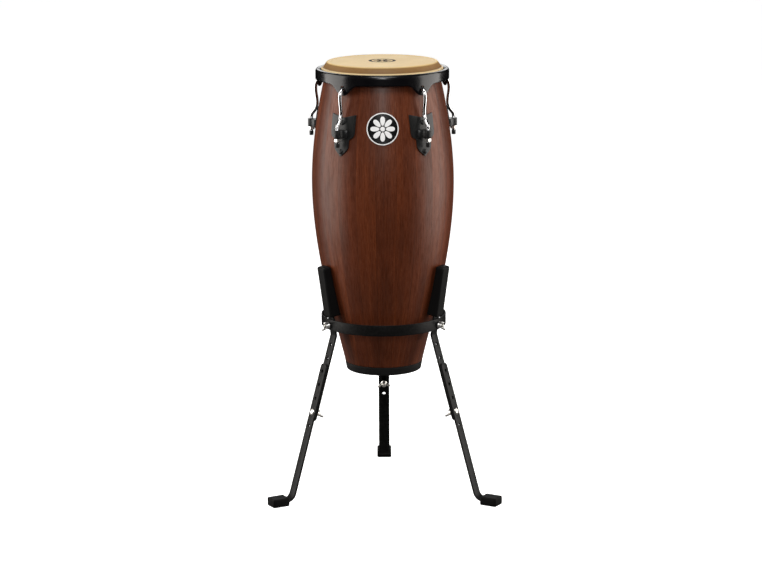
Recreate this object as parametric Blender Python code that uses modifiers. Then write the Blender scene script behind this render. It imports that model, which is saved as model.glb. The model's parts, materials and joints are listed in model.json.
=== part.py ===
"""Conga drum in a three-legged, height-adjustable basket stand.

Metres, +Z up.  The floor is Z = 0.  The drum's axis is vertical and stands at
X = 0, Y = AXIS_Y, so that the whole object's box is centred on the origin.
The front of the drum faces -Y.  A "radial" drawing below is a section through
the drum's axis: r is the distance from that axis and z the height above the
drum's own bottom edge.  An azimuth of 0 points to -Y and grows towards +X.
"""
import math

import bmesh
import bpy
import numpy as np
from mathutils import Matrix, Vector

# ------------------------------------------------------------- dimensions
DRUM_HEIGHT = 0.711            # bottom rubber to playing surface (28 inches)
LIFT = 0.290                   # drum's bottom edge above the floor
STEPS = 60                     # facets round every turned piece of the drum
GAP = 0.0003                   # running gap between touching pieces

# outer radius of the shell at heights above its bottom edge
SHELL_KEYS = [(0.000, 0.0841), (0.100, 0.1088), (0.200, 0.1336), (0.300, 0.1515), (0.370, 0.1590),
              (0.440, 0.1615), (0.510, 0.1580), (0.580, 0.1492), (0.650, 0.1366), (0.700, 0.1253)]
WALL = 0.011                   # stave thickness
REBATE = 0.0026                # step turned in the shell's foot, where the rubber is pulled on
SHELL_KNOTS = [0.0034, 0.045, 0.095, 0.150, 0.205, 0.260, 0.310, 0.360, 0.410, 0.455,
               0.500, 0.545, 0.590, 0.630, 0.668, 0.700]

HOOP_R = 0.1511                # outside of the tension ring
HOOP_WALL = 0.0027
HOOP_LOW, HOOP_TOP = 0.6717, 0.6961
LUG_AZ = (-36.0, 36.0, 108.0, 180.0, -108.0)
ROD_R = 0.004                  # tuning rod, 8 mm
ROD_AXIS = 0.1710              # radius at which the rods run down
RECEIVER_Z = (0.5550, 0.5725)
NUT_Z = (0.5480, 0.5545)
PLATE_T = 0.0025
SCREW_Z = (0.5876, 0.5237)     # the two bolts that hold each side plate
BADGE_Z, BADGE_R, BADGE_T = 0.5776, 0.0355, 0.0016

RING_R, RING_T = 0.1431, 0.0025
RING_Z = (0.105, 0.130)
LEG_AZ = (-60.0, 60.0, 180.0)
BAR_T, BAR_W = 0.0045, 0.0255  # flat steel bar of the legs
LEAN = math.radians(16.5)      # legs lean out going down
ARM = math.radians(8.5)        # arms lean out going up
BOLT_RZ = (0.1878, -0.0820)    # clamp bolt on the lower bar's centre line
STACK = BAR_T + GAP            # upper bar lies inside the lower bar
ARM_RZ = (0.1350, 0.1175)      # ring bolt on the arm's centre line
PITCH = 0.0321                 # spacing of the height holes
LOWER_TOP = 0.1135             # lower bar reaches this far above the bolt
UPPER_LOW = -0.0190            # upper bar ends this far below the bolt
TRAVEL = 0.045                 # height adjustment that the hidden slot allows
FOOT_R = (0.2600, 0.3006)
FOOT_H, FOOT_W = 0.0200, 0.034
PAD_W = 0.032
RING_WING_TURN = (50.0, -50.0, 25.0)   # how each wing nut was left after tightening
LEG_WING_TURN = (22.0, -22.0, 6.0)

AXIS_Y = -(FOOT_R[1] - 0.1615) / 2.0


# ---------------------------------------------------------------- helpers
def spline(keys):
    """Natural cubic through the keys, as a function of height."""
    z = np.array([k[0] for k in keys])
    r = np.array([k[1] for k in keys])
    n = len(z)
    h = np.diff(z)
    a = np.zeros((n, n))
    b = np.zeros(n)
    a[0, 0] = a[-1, -1] = 1.0
    for i in range(1, n - 1):
        a[i, i - 1], a[i, i], a[i, i + 1] = h[i - 1], 2 * (h[i - 1] + h[i]), h[i]
        b[i] = 6 * ((r[i + 1] - r[i]) / h[i] - (r[i] - r[i - 1]) / h[i - 1])
    m = np.linalg.solve(a, b)

    def value(x):
        i = int(min(max(np.searchsorted(z, x) - 1, 0), n - 2))
        u, v, w = z[i + 1] - x, x - z[i], h[i]
        return float(m[i] * u ** 3 / (6 * w) + m[i + 1] * v ** 3 / (6 * w)
                     + (r[i] / w - m[i] * w / 6) * u + (r[i + 1] / w - m[i + 1] * w / 6) * v)
    return value


shell_r = spline(SHELL_KEYS)


def slope(z):
    return (shell_r(z + 0.002) - shell_r(z - 0.002)) / 0.004


def facet_r(z):
    """Outer radius of the shell on its straight facets between two knots."""
    k = SHELL_KNOTS
    i = int(min(max(np.searchsorted(k, z) - 1, 0), len(k) - 2))
    f = (z - k[i]) / (k[i + 1] - k[i])
    return shell_r(k[i]) * (1 - f) + shell_r(k[i + 1]) * f


def offset_r(z, d):
    """Radius of a surface d outside the shell's outer face (negative is inside)."""
    return facet_r(z) + d * math.sqrt(1 + slope(z) ** 2)


def knots_between(z0, z1):
    return [z0] + [k for k in SHELL_KNOTS if z0 + 0.004 < k < z1 - 0.004] + [z1]


def collection(name):
    c = bpy.data.collections.new(name)
    bpy.context.scene.collection.children.link(c)
    return c


def material(name, colour, roughness, metallic):
    m = bpy.data.materials.new(name)
    m.use_nodes = True
    b = m.node_tree.nodes["Principled BSDF"]
    b.inputs["Base Color"].default_value = (*colour, 1.0)
    b.inputs["Roughness"].default_value = roughness
    b.inputs["Metallic"].default_value = metallic
    m.diffuse_color = (*colour, 1.0)
    return m


def bake(ob):
    """Replace an object's modifiers (or a curve) by the mesh they give."""
    ev = ob.evaluated_get(bpy.context.evaluated_depsgraph_get())
    me = bpy.data.meshes.new_from_object(ev)
    if ob.type == "MESH":
        ob.modifiers.clear()
        ob.data = me
        return ob
    new = bpy.data.objects.new(ob.name + "_mesh", me)
    new.matrix_world = ob.matrix_world.copy()
    bpy.context.scene.collection.objects.link(new)
    bpy.data.objects.remove(ob)
    bm = bmesh.new()
    bm.from_mesh(me)
    bmesh.ops.remove_doubles(bm, verts=bm.verts, dist=0.00001)
    bmesh.ops.recalc_face_normals(bm, faces=bm.faces)
    bm.to_mesh(me)
    bm.free()
    return new


def from_bmesh(name, bm):
    me = bpy.data.meshes.new(name)
    bm.to_mesh(me)
    bm.free()
    ob = bpy.data.objects.new(name, me)
    bpy.context.scene.collection.objects.link(ob)
    return ob


def turned(name, loop, closed=True, steps=STEPS):
    """A turned solid: a profile of (r, z) points with a Screw modifier."""
    area = sum(a[0] * b[1] - b[0] * a[1] for a, b in zip(loop, loop[1:] + loop[:1]))
    if area > 0:
        loop = loop[::-1]
    bm = bmesh.new()
    vs = [bm.verts.new((r, 0, z)) for r, z in loop]
    for a, b in zip(vs, vs[1:]):
        bm.edges.new((a, b))
    if closed:
        bm.edges.new((vs[-1], vs[0]))
    ob = from_bmesh(name, bm)
    s = ob.modifiers.new("Screw", "SCREW")
    s.axis, s.angle, s.steps, s.render_steps = "Z", math.tau, steps, steps
    s.use_merge_vertices, s.merge_threshold = True, 0.00005
    return bake(ob)


def outline(name, splines, half, matrix=Matrix.Identity(4)):
    """A flat outline, with holes, extruded by half its thickness each way."""
    cu = bpy.data.curves.new(name, "CURVE")
    cu.dimensions, cu.fill_mode, cu.extrude = "2D", "BOTH", half
    for pts in splines:
        sp = cu.splines.new("POLY")
        sp.points.add(len(pts) - 1)
        for p, (x, y) in zip(sp.points, pts):
            p.co = (x, y, 0, 1)
        sp.use_cyclic_u = True
    ob = bpy.data.objects.new(name, cu)
    bpy.context.scene.collection.objects.link(ob)
    bpy.context.view_layer.update()
    ob = bake(ob)
    ob.name = name
    ob.data.transform(matrix)
    return ob


def rods(name, items):
    """Cylinders, as cutters or bosses: (radius, length, matrix, sides)."""
    bm = bmesh.new()
    for radius, length, matrix, sides in items:
        bmesh.ops.create_cone(bm, cap_ends=True, segments=sides, radius1=radius, radius2=radius,
                              depth=length, matrix=matrix)
    return from_bmesh(name, bm)


def boolean(ob, other, operation="DIFFERENCE", keep=False):
    m = ob.modifiers.new(operation, "BOOLEAN")
    m.operation, m.object, m.solver = operation, other, "EXACT"
    bake(ob)
    if keep:
        other.hide_render, other.display_type = True, "WIRE"
        for c in list(other.users_collection):
            c.objects.unlink(other)
        CUTTERS.objects.link(other)
        other.hide_set(True)
    else:
        bpy.data.objects.remove(other)
    return ob


def joined(name, obs):
    bm = bmesh.new()
    for o in obs:
        me = o.data
        me.transform(o.matrix_world)
        bm.from_mesh(me)
        bpy.data.objects.remove(o)
    return from_bmesh(name, bm)


def radial(r, t, z):
    """Point at azimuth 0: r towards -Y, t towards +X."""
    return Vector((t, -r, z))


def along(direction, point):
    """Matrix whose Z runs along a direction, placed at a point."""
    return Matrix.Translation(point) @ Vector(direction).to_track_quat("Z", "Y").to_matrix().to_4x4()


def circle(radius, n, cx=0.0, cy=0.0):
    return [(cx + radius * math.cos(math.tau * i / n), cy + radius * math.sin(math.tau * i / n)) for i in range(n)]


def place(master, name, azimuth, pivot, mat, parent):
    """A copy of a master made at azimuth 0, with its origin on its pivot."""
    pivot = Vector(pivot)
    if "origin" not in master:
        master["origin"] = list(pivot)
        master.data.transform(master.matrix_world)
        master.matrix_world = Matrix.Identity(4)
        master.data.transform(Matrix.Translation(-pivot))
        master.data.shade_smooth()
        master.data.set_sharp_from_angle(angle=math.radians(28))
    ob = bpy.data.objects.new(name, master.data)
    PARTS.objects.link(ob)
    turn = Matrix.Rotation(math.radians(azimuth), 4, "Z")
    ob.matrix_world = Matrix.Translation((0, AXIS_Y, LIFT)) @ turn @ Matrix.Translation(pivot)
    if parent is not None:
        ob.parent = parent
        ob.matrix_parent_inverse = parent.matrix_world.inverted()
    if len(ob.data.materials) == 0:
        ob.data.materials.append(mat)
    else:
        ob.data.materials[0] = mat
    return ob


def axis_empty(name, azimuth, pivot, direction, parent=None):
    """An empty on a joint's axis, its Z along the axis."""
    e = bpy.data.objects.new(name, None)
    e.empty_display_size = 0.03
    PARTS.objects.link(e)
    turn = Matrix.Translation((0, AXIS_Y, LIFT)) @ Matrix.Rotation(math.radians(azimuth), 4, "Z")
    e.matrix_world = turn @ along(direction, Vector(pivot))
    bpy.context.view_layer.update()
    if parent is not None:
        e.parent = parent
        e.matrix_parent_inverse = parent.matrix_world.inverted()
        bpy.context.view_layer.update()
    return e


def bevel_edges(ob, width, segments, pick):
    """Bevel the edges that pick(a, b) chooses from their end points."""
    bm = bmesh.new()
    bm.from_mesh(ob.data)
    edges = [e for e in bm.edges if pick(e.verts[0].co, e.verts[1].co)]
    bmesh.ops.bevel(bm, geom=edges, offset=width, segments=segments, affect="EDGES", profile=0.5,
                    clamp_overlap=True)
    bm.to_mesh(ob.data)
    bm.free()
    return ob


def arc_path(points, radii, n=5):
    """Straight runs joined by arcs: a centre line in the (r, z) plane."""
    out = [Vector(points[0])]
    for i in range(1, len(points) - 1):
        p, a, b = Vector(points[i]), Vector(points[i - 1]), Vector(points[i + 1])
        u, v = (a - p).normalized(), (b - p).normalized()
        half = u.angle(v) / 2
        reach = radii[i - 1] / math.tan(half)
        centre = p + (u + v).normalized() * (radii[i - 1] / math.sin(half))
        start, end = p + u * reach, p + v * reach
        s, e = start - centre, end - centre
        total = s.angle_signed(e)
        for k in range(n + 1):
            out.append(centre + Matrix.Rotation(-total * k / n, 2) @ s)
    out.append(Vector(points[-1]))
    return out


def bar(name, path, thickness, width):
    """A flat bar bent along a path in the (r, z) plane, at azimuth 0."""
    left, right = [], []
    for i, p in enumerate(path):
        d = (path[min(i + 1, len(path) - 1)] - path[max(i - 1, 0)]).normalized()
        if 0 < i < len(path) - 1:
            d0, d1 = (p - path[i - 1]).normalized(), (path[i + 1] - p).normalized()
            d = (d0 + d1).normalized()
            k = 1 / max(0.5, d.dot(d1))
        else:
            k = 1.0
        n = Vector((-d.y, d.x)) * (thickness / 2 * k)
        left.append(tuple(p + n))
        right.append(tuple(p - n))
    ob = outline(name, [left + right[::-1]], width / 2)
    # the outline's x is r and its y is z; its thickness becomes the bar's width
    ob.data.transform(Matrix(((0, 0, 1, 0), (-1, 0, 0, 0), (0, 1, 0, 0), (0, 0, 0, 1))))
    bm = bmesh.new()
    bm.from_mesh(ob.data)
    bmesh.ops.recalc_face_normals(bm, faces=bm.faces)
    bm.to_mesh(ob.data)
    bm.free()
    return ob


# ------------------------------------------------------------------ scene
for o in list(bpy.data.objects):
    bpy.data.objects.remove(o)
PARTS = collection("conga_drum")
CUTTERS = collection("cutters")

WOOD = material("wood_stave", (0.105, 0.035, 0.016), 0.32, 0.0)
BLACK = material("black_powder_coat", (0.014, 0.014, 0.014), 0.42, 0.2)
RIM = material("black_rim_coat", (0.012, 0.012, 0.013), 0.3, 0.3)
CHROME = material("chrome_rod", (0.75, 0.75, 0.76), 0.08, 1.0)
NUTS = material("chrome_nut", (0.72, 0.72, 0.72), 0.12, 1.0)
SKIN = material("natural_skin", (0.72, 0.58, 0.38), 0.6, 0.0)
STEEL = material("plain_steel", (0.42, 0.42, 0.42), 0.35, 1.0)
RUBBER = material("black_rubber", (0.02, 0.02, 0.02), 0.75, 0.0)
BADGE = material("badge_metal", (0.55, 0.55, 0.55), 0.2, 1.0)

# joint axes as empties -------------------------------------------------
DRUM = axis_empty("axis_drum_lift", 0, (0, 0, 0), (0, 0, 1))
RIMAX = axis_empty("axis_rim_tune", 0, (0, 0, HOOP_LOW), (0, 0, 1), DRUM)

# ------------------------------------------------------------- the shell
outer = [(offset_r(0.0034, -REBATE), 0.0034), (offset_r(0.0192, -REBATE), 0.0192), (shell_r(0.0196), 0.0196)]
outer += [(shell_r(z), z) for z in SHELL_KNOTS[1:]]
inner = [(offset_r(z, -WALL), z) for z in (0.0034, 0.095, 0.205, 0.310, 0.410, 0.500, 0.545, 0.590, 0.630, 0.668, 0.696)]
lip = [(0.1245, 0.7045), (0.1222, 0.7075), (0.1195, 0.7085), (0.1165, 0.7070), (0.1146, 0.7030)]
shell = turned("shell_master", outer + lip + inner[::-1])
holes = []
for azimuth in LUG_AZ:
    for z in SCREW_Z:
        n = Vector((0, -1, -slope(z))).normalized()
        turn = Matrix.Rotation(math.radians(azimuth), 4, "Z")
        holes.append((0.0036, 0.05, turn @ along(n, radial(shell_r(z), 0, z)), 10))
boolean(shell, rods("stud_holes", holes), keep=True)
place(shell, "shell", 0, (0, 0, 0), WOOD, DRUM)

rubber = turned("rim_rubber_master", [
    (offset_r(0.0188, 0.0003), 0.0188), (offset_r(0.0100, 0.0006), 0.0100), (offset_r(0.0034, 0.0004), 0.0020),
    (0.0838, 0.0), (0.0722, 0.0), (0.0704, 0.0020), (0.0718, 0.0110), (offset_r(0.012, -WALL - 0.0004), 0.0120),
    (offset_r(0.0034, -WALL - 0.0004), 0.0030), (offset_r(0.0034, 0.0004 - REBATE), 0.0030),
    (offset_r(0.0188, 0.0004 - REBATE), 0.0188)])
place(rubber, "bottom_rim_rubber", 0, (0, 0, 0), RUBBER, DRUM)

# --------------------------------------------------------------- the head
skin = turned("skin_master", [
    (0.0, 0.7110), (0.0600, 0.7110), (0.1195, 0.7110), (0.1222, 0.7106), (0.1246, 0.7094), (0.1268, 0.7069),
    (0.1305, 0.7016), (0.1345, 0.6965), (0.1332, 0.6950), (0.1296, 0.6994), (0.1266, 0.7040), (0.1249, 0.7064),
    (0.1228, 0.7084), (0.1200, 0.7090), (0.0600, 0.7090), (0.0, 0.7090)], closed=False)
place(skin, "head_skin", 0, (0, 0, 0), SKIN, DRUM)

flesh = turned("flesh_master", [(0.1476, 0.6770), (0.1476, 0.6842), (0.1456, 0.6862), (0.1410, 0.6862),
                                (0.1390, 0.6842), (0.1390, 0.6770), (0.1410, 0.6750), (0.1456, 0.6750)])
place(flesh, "flesh_hoop", 0, (0, 0, HOOP_LOW), STEEL, RIMAX)

# ------------------------------------- the tension ring with its five ears
hoop = turned("hoop_master", [
    (HOOP_R, 0.6475), (HOOP_R, HOOP_LOW), (HOOP_R, 0.6900), (0.1502, 0.6930), (0.1481, 0.6952), (0.1448, HOOP_TOP),
    (0.1415, 0.6952), (0.1393, 0.6930), (0.1384, 0.6900), (0.1384, 0.6872), (0.1408, 0.6872), (0.1410, 0.6900),
    (0.1425, 0.6924), (0.1448, 0.6933), (0.1470, 0.6924), (HOOP_R - HOOP_WALL, 0.6900),
    (HOOP_R - HOOP_WALL, HOOP_LOW), (HOOP_R - HOOP_WALL, 0.6475)])
EAR = [(0.0022, 0.6482), (0.0068, 0.6489), (0.0110, 0.6512), (0.0160, 0.6560), (0.0215, 0.6617), (0.0262, 0.6662),
       (0.0310, 0.6695), (0.0350, 0.6710), (0.0350, 0.6800)]
ear_outline = EAR + [(-x, z) for x, z in EAR[::-1]]
FRONT = Matrix(((1, 0, 0, 0), (0, 0, -1, -0.150), (0, 1, 0, 0), (0, 0, 0, 1)))
ears = []
for azimuth in LUG_AZ:
    e = outline("ear", [ear_outline], 0.02, FRONT)
    e.data.transform(Matrix.Rotation(math.radians(azimuth), 4, "Z"))
    ears.append(e)
waste = turned("hoop_waste", [(0.160, 0.640), (0.160, HOOP_LOW), (0.140, HOOP_LOW), (0.140, 0.640)])
boolean(waste, joined("ears", ears))
boolean(hoop, waste, keep=True)
slots = []
for azimuth in LUG_AZ:
    s = outline("slot", [[(0.0030, 0.6586), (0.0047, 0.6603), (0.0047, 0.6683), (0.0030, 0.6700), (-0.0030, 0.6700),
                          (-0.0047, 0.6683), (-0.0047, 0.6603), (-0.0030, 0.6586)]], 0.012, FRONT)
    s.data.transform(Matrix.Rotation(math.radians(azimuth), 4, "Z"))
    slots.append(s)
boolean(hoop, joined("hook_slots", slots), keep=True)
place(hoop, "tension_ring", 0, (0, 0, HOOP_LOW), RIM, RIMAX)

# ------------------------------------------------------ tuning hooks, nuts
HOOK = [(0.1440, 0.6652), (0.1500, 0.6640), (0.1546, 0.6610), (0.1580, 0.6556), (0.1598, 0.6484), (0.1601, 0.6400),
        (0.1590, 0.6300), (0.1575, 0.6205), (0.1568, 0.6110), (0.1578, 0.6030), (0.1610, 0.5948), (0.1660, 0.5882),
        (0.1696, 0.5836), (0.1709, 0.5795), (0.1710, 0.5765), (0.1710, 0.5430)]
cu = bpy.data.curves.new("hook", "CURVE")
cu.dimensions, cu.bevel_depth, cu.bevel_resolution, cu.use_fill_caps = "3D", ROD_R, 2, True
sp = cu.splines.new("POLY")
sp.points.add(len(HOOK) - 1)
for p, (r, z) in zip(sp.points, HOOK):
    p.co = (*radial(r, 0, z), 1)
hook = bpy.data.objects.new("hook_master", cu)
bpy.context.scene.collection.objects.link(hook)
bpy.context.view_layer.update()
hook = bake(hook)
tip = turned("rod_tip", [(0.0, 0.5440), (0.0047, 0.5440), (0.0047, 0.5372), (0.0032, 0.5350), (0.0, 0.5345)],
             closed=False, steps=12)
tip.data.transform(Matrix.Translation(radial(ROD_AXIS, 0, 0)))
boolean(hook, tip, "UNION")

bm = bmesh.new()
bmesh.ops.create_cone(bm, cap_ends=True, segments=6, radius1=0.0075, radius2=0.0075, depth=NUT_Z[1] - NUT_Z[0],
                      matrix=Matrix.Translation(radial(ROD_AXIS, 0, (NUT_Z[0] + NUT_Z[1]) / 2)))
nut = from_bmesh("nut_master", bm)
boolean(nut, rods("nut_bore", [(0.0045, 0.03, Matrix.Translation(radial(ROD_AXIS, 0, 0.551)), 12)]))

# receiver: a bracket that narrows from the side plate to a round barrel
nose = [(0.0078 * math.sin(a), ROD_AXIS + 0.0078 * math.cos(a)) for a in np.linspace(-1.25, 1.25, 9)]
base = [(0.0172, 0.1575), (0.0172, 0.1440), (-0.0172, 0.1440), (-0.0172, 0.1575)]
receiver = outline("receiver_master", [[(x, -r) for x, r in nose + base]], (RECEIVER_Z[1] - RECEIVER_Z[0]) / 2,
                   Matrix.Translation((0, 0, sum(RECEIVER_Z) / 2)))
stack = GAP + PLATE_T + GAP
core = turned("plate_room", [(offset_r(0.59, stack), 0.590), (offset_r(0.545, stack), 0.545), (0.120, 0.545), (0.120, 0.590)])
boolean(receiver, core)
boolean(receiver, rods("rod_bore", [(0.0045, 0.05, Matrix.Translation(radial(ROD_AXIS, 0, 0.564)), 12)]))

# side plate: a shield cut from a skin that follows the shell
SHIELD = [(0.0016, 0.5134), (0.0150, 0.5268), (0.0185, 0.5322), (0.0195, 0.5380), (0.0195, 0.5498), (0.0220, 0.5533),
          (0.0275, 0.5556), (0.0308, 0.5600), (0.0318, 0.5660), (0.0320, 0.5980), (0.0306, 0.6060), (0.0120, 0.6010)]
shield = SHIELD + [(-x, z) for x, z in SHIELD[::-1]]
zs = knots_between(0.500, 0.620)
skin_out = [(offset_r(z, GAP + PLATE_T), z) for z in zs]
skin_in = [(offset_r(z, GAP), z) for z in zs]
plate = turned("plate_master", skin_out + skin_in[::-1])
boolean(plate, outline("shield", [shield], 0.03, FRONT), "INTERSECT")
boolean(plate, rods("plate_holes", [(0.0036, 0.03, along(Vector((0, -1, -slope(z))), radial(shell_r(z), 0, z)), 10)
                                    for z in SCREW_Z]))

# inner backing plate with its two through studs and their domed heads
zs = knots_between(0.505, 0.605)
back = turned("backing_master", [(offset_r(z, -WALL - GAP - 0.0002), z) for z in zs]
              + [(offset_r(z, -WALL - GAP - 0.0027), z) for z in zs[::-1]])
rect = [(0.0125, 0.513), (0.0155, 0.516), (0.0155, 0.595), (0.0125, 0.598)]
boolean(back, outline("backing_outline", [rect + [(-x, z) for x, z in rect[::-1]]], 0.03, FRONT), "INTERSECT")
for z in SCREW_Z:
    n = Vector((0, -1, -slope(z))).normalized()
    start = -WALL - 0.0015
    head = GAP * 2 + PLATE_T + 0.0004
    foot = radial(facet_r(z), 0, z)
    boolean(back, rods("stud", [(0.0030, head + 0.001 - start, along(n, foot + n * (head + 0.001 + start) / 2), 10)]), "UNION")
    bm = bmesh.new()
    bmesh.ops.create_cone(bm, cap_ends=True, segments=12, radius1=0.0056, radius2=0.0036, depth=0.0022,
                          matrix=along(n, foot + n * (head + 0.0011)))
    boolean(back, from_bmesh("stud_head", bm), "UNION")

for i, azimuth in enumerate(LUG_AZ, 1):
    place(hook, "tuning_hook_%d" % i, azimuth, radial(ROD_AXIS, 0, RECEIVER_Z[0]), CHROME, RIMAX)
    place(plate, "side_plate_%d" % i, azimuth, (0, 0, 0), BLACK, DRUM)
    place(receiver, "lug_receiver_%d" % i, azimuth, radial(ROD_AXIS, 0, RECEIVER_Z[0]), BLACK, DRUM)
    place(back, "backing_plate_%d" % i, azimuth, (0, 0, 0), STEEL, DRUM)
    turner = axis_empty("axis_tuning_nut_%d" % i, azimuth, radial(ROD_AXIS, 0, NUT_Z[0]), (0, 0, 1), DRUM)
    place(nut, "tuning_nut_%d" % i, azimuth, radial(ROD_AXIS, 0, NUT_Z[0]), NUTS, turner)

# ------------------------------------------------------------- the badge
zs = knots_between(0.530, 0.628)
badge = turned("badge_master", [(offset_r(z, GAP + BADGE_T), z) for z in zs] + [(offset_r(z, GAP), z) for z in zs[::-1]])
boolean(badge, outline("badge_disc", [circle(BADGE_R, 32, 0, BADGE_Z)], 0.03, FRONT), "INTERSECT")
place(badge, "badge", 0, (0, 0, 0), BADGE, DRUM)

# -------------------------------------------------------- the basket ring
ring = turned("ring_master", [(RING_R, RING_Z[0] + 0.0006), (RING_R, RING_Z[1] - 0.0006), (RING_R - 0.0006, RING_Z[1]),
                              (RING_R - RING_T + 0.0006, RING_Z[1]), (RING_R - RING_T, RING_Z[1] - 0.0006),
                              (RING_R - RING_T, RING_Z[0] + 0.0006), (RING_R - RING_T + 0.0006, RING_Z[0]),
                              (RING_R - 0.0006, RING_Z[0])])
arm_n = Vector((0, -math.cos(ARM), -math.sin(ARM)))        # outward normal of an arm
arm_u = Vector((0, -math.sin(ARM), math.cos(ARM)))         # up along an arm
arm_c = radial(ARM_RZ[0], 0, ARM_RZ[1])
boolean(ring, rods("ring_bolt_holes", [(0.0042, 0.03, Matrix.Rotation(math.radians(a), 4, "Z") @ along(arm_n, arm_c + arm_n * 0.007), 12)
                                       for a in LEG_AZ]), keep=True)
place(ring, "basket_ring", 0, (0, 0, 0), BLACK, None)

# ---------------------------------------------------------- the leg bars
leg_n = Vector((0, -math.cos(LEAN), math.sin(LEAN)))       # outward normal of a leg bar
leg_u = Vector((0, math.sin(LEAN), math.cos(LEAN)))        # up along a leg bar
bolt_c = radial(BOLT_RZ[0], 0, BOLT_RZ[1])


def leg_rz(s, n=0.0):
    """Point s up a leg bar from the clamp bolt and n outward of the lower bar."""
    return (BOLT_RZ[0] - math.sin(LEAN) * s + math.cos(LEAN) * n, BOLT_RZ[1] + math.cos(LEAN) * s + math.sin(LEAN) * n)


def arm_rz(w):
    return (ARM_RZ[0] + math.sin(ARM) * w, ARM_RZ[1] + math.cos(ARM) * w)


ARM_END = 0.128
r0, z0 = leg_rz(0, -STACK)
kink = (r0 - ARM_RZ[0] + math.tan(LEAN) * z0 + math.tan(ARM) * ARM_RZ[1]) / (math.tan(LEAN) + math.tan(ARM))
corner = (r0 - math.tan(LEAN) * (kink - z0), kink)
upper = bar("upper_master", arc_path([leg_rz(UPPER_LOW, -STACK), corner, arm_rz(ARM_END)], [0.012], 4), BAR_T, BAR_W)


def end_edges(point, axis):
    """Edges across the bar's thickness at one end: rounded corners in plan."""
    def pick(a, b):
        d = (b - a)
        return d.length > 0 and abs(abs(d.x)) < 1e-6 and abs((a - point).dot(axis)) < 0.0006 and \
            abs((b - point).dot(axis)) < 0.0006 and abs(abs(a.x) - BAR_W / 2) < 1e-5
    return pick


bevel_edges(upper, 0.0080, 3, end_edges(radial(leg_rz(UPPER_LOW, -STACK)[0], 0, leg_rz(UPPER_LOW, -STACK)[1]), leg_u))
cut = [(0.0042, 0.03, along(arm_n, arm_c), 12)]
for s in (0.1277, 0.1598):
    r, z = leg_rz(s, -STACK)
    cut.append((0.0042, 0.012, along(leg_n, radial(r, 0, z)), 12))
boolean(upper, rods("upper_holes", cut))
# the clamp bolt's slot, hidden behind the lower bar
k = 0.0043
caps = [(k * math.sin(a), k * math.cos(a)) for a in np.linspace(-math.pi / 2, math.pi / 2, 7)]
slot = [(x, TRAVEL + y) for x, y in caps] + [(-x, -y) for x, y in caps]
r, z = leg_rz(0, -STACK)
frame = Matrix.Translation(radial(r, 0, z)) @ Matrix(((1, 0, 0, 0), (0, leg_u.y, leg_n.y, 0), (0, leg_u.z, leg_n.z, 0), (0, 0, 0, 1)))
boolean(upper, outline("clamp_slot", [slot], 0.008, frame))

floor_z = -LIFT
sole = floor_z + 0.0095
turn_r = BOLT_RZ[0] + math.tan(LEAN) * (BOLT_RZ[1] - sole)
path = arc_path([leg_rz(LOWER_TOP), (turn_r, sole), (FOOT_R[1] - 0.0090, sole)], [0.022], 6)
lower = bar("lower_master", path, BAR_T, BAR_W)
bevel_edges(lower, 0.0080, 3, end_edges(radial(*[leg_rz(LOWER_TOP)[0], 0, leg_rz(LOWER_TOP)[1]]), leg_u))
cut = []
for j in (-1, 0, 1, 2, 3):
    r, z = leg_rz(j * PITCH)
    cut.append((0.0042, 0.02, along(leg_n, radial(r, 0, z)), 12))
boolean(lower, rods("height_holes", cut))

# rubber foot, moulded round the turned-out end of the bar
bm = bmesh.new()
bmesh.ops.create_cube(bm, size=1.0, matrix=Matrix.Translation(radial(sum(FOOT_R) / 2, 0, floor_z + FOOT_H / 2))
                      @ Matrix.Diagonal((FOOT_W, FOOT_R[1] - FOOT_R[0], FOOT_H, 1)))
bmesh.ops.bevel(bm, geom=list(bm.edges), offset=0.0025, segments=2, affect="EDGES", profile=0.5)
foot = from_bmesh("foot_master", bm)
room = bar("foot_pocket", arc_path([leg_rz(0.0), (turn_r, sole), (FOOT_R[1] - 0.0084, sole)], [0.022], 6),
           BAR_T + 2 * GAP, BAR_W + 2 * GAP)
boolean(foot, room)

# rubber sleeve over each arm: a wedge whose inner face follows the shell
PAD_W0, PAD_W1 = 0.0205, 0.1370
PAD_OUT, PAD_CLEAR = BAR_T / 2 + 0.0085, 0.0014
arm_frame = Matrix.Translation(arm_c) @ Matrix(((1, 0, 0, 0), (0, arm_u.y, arm_n.y, 0), (0, arm_u.z, arm_n.z, 0), (0, 0, 0, 1)))
side_frame = Matrix.Translation(arm_c) @ Matrix(((0, 0, 1, 0), (arm_u.y, arm_n.y, 0, 0), (arm_u.z, arm_n.z, 0, 0), (0, 0, 0, 1)))


def pad_in(w):
    """How far the sleeve reaches in from the arm's centre line, w up the arm."""
    r, z = arm_rz(w)
    d = 0.0
    while r - math.cos(ARM) * d > shell_r(z + math.sin(ARM) * d):
        d += 0.00005
    return d - PAD_CLEAR


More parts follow.
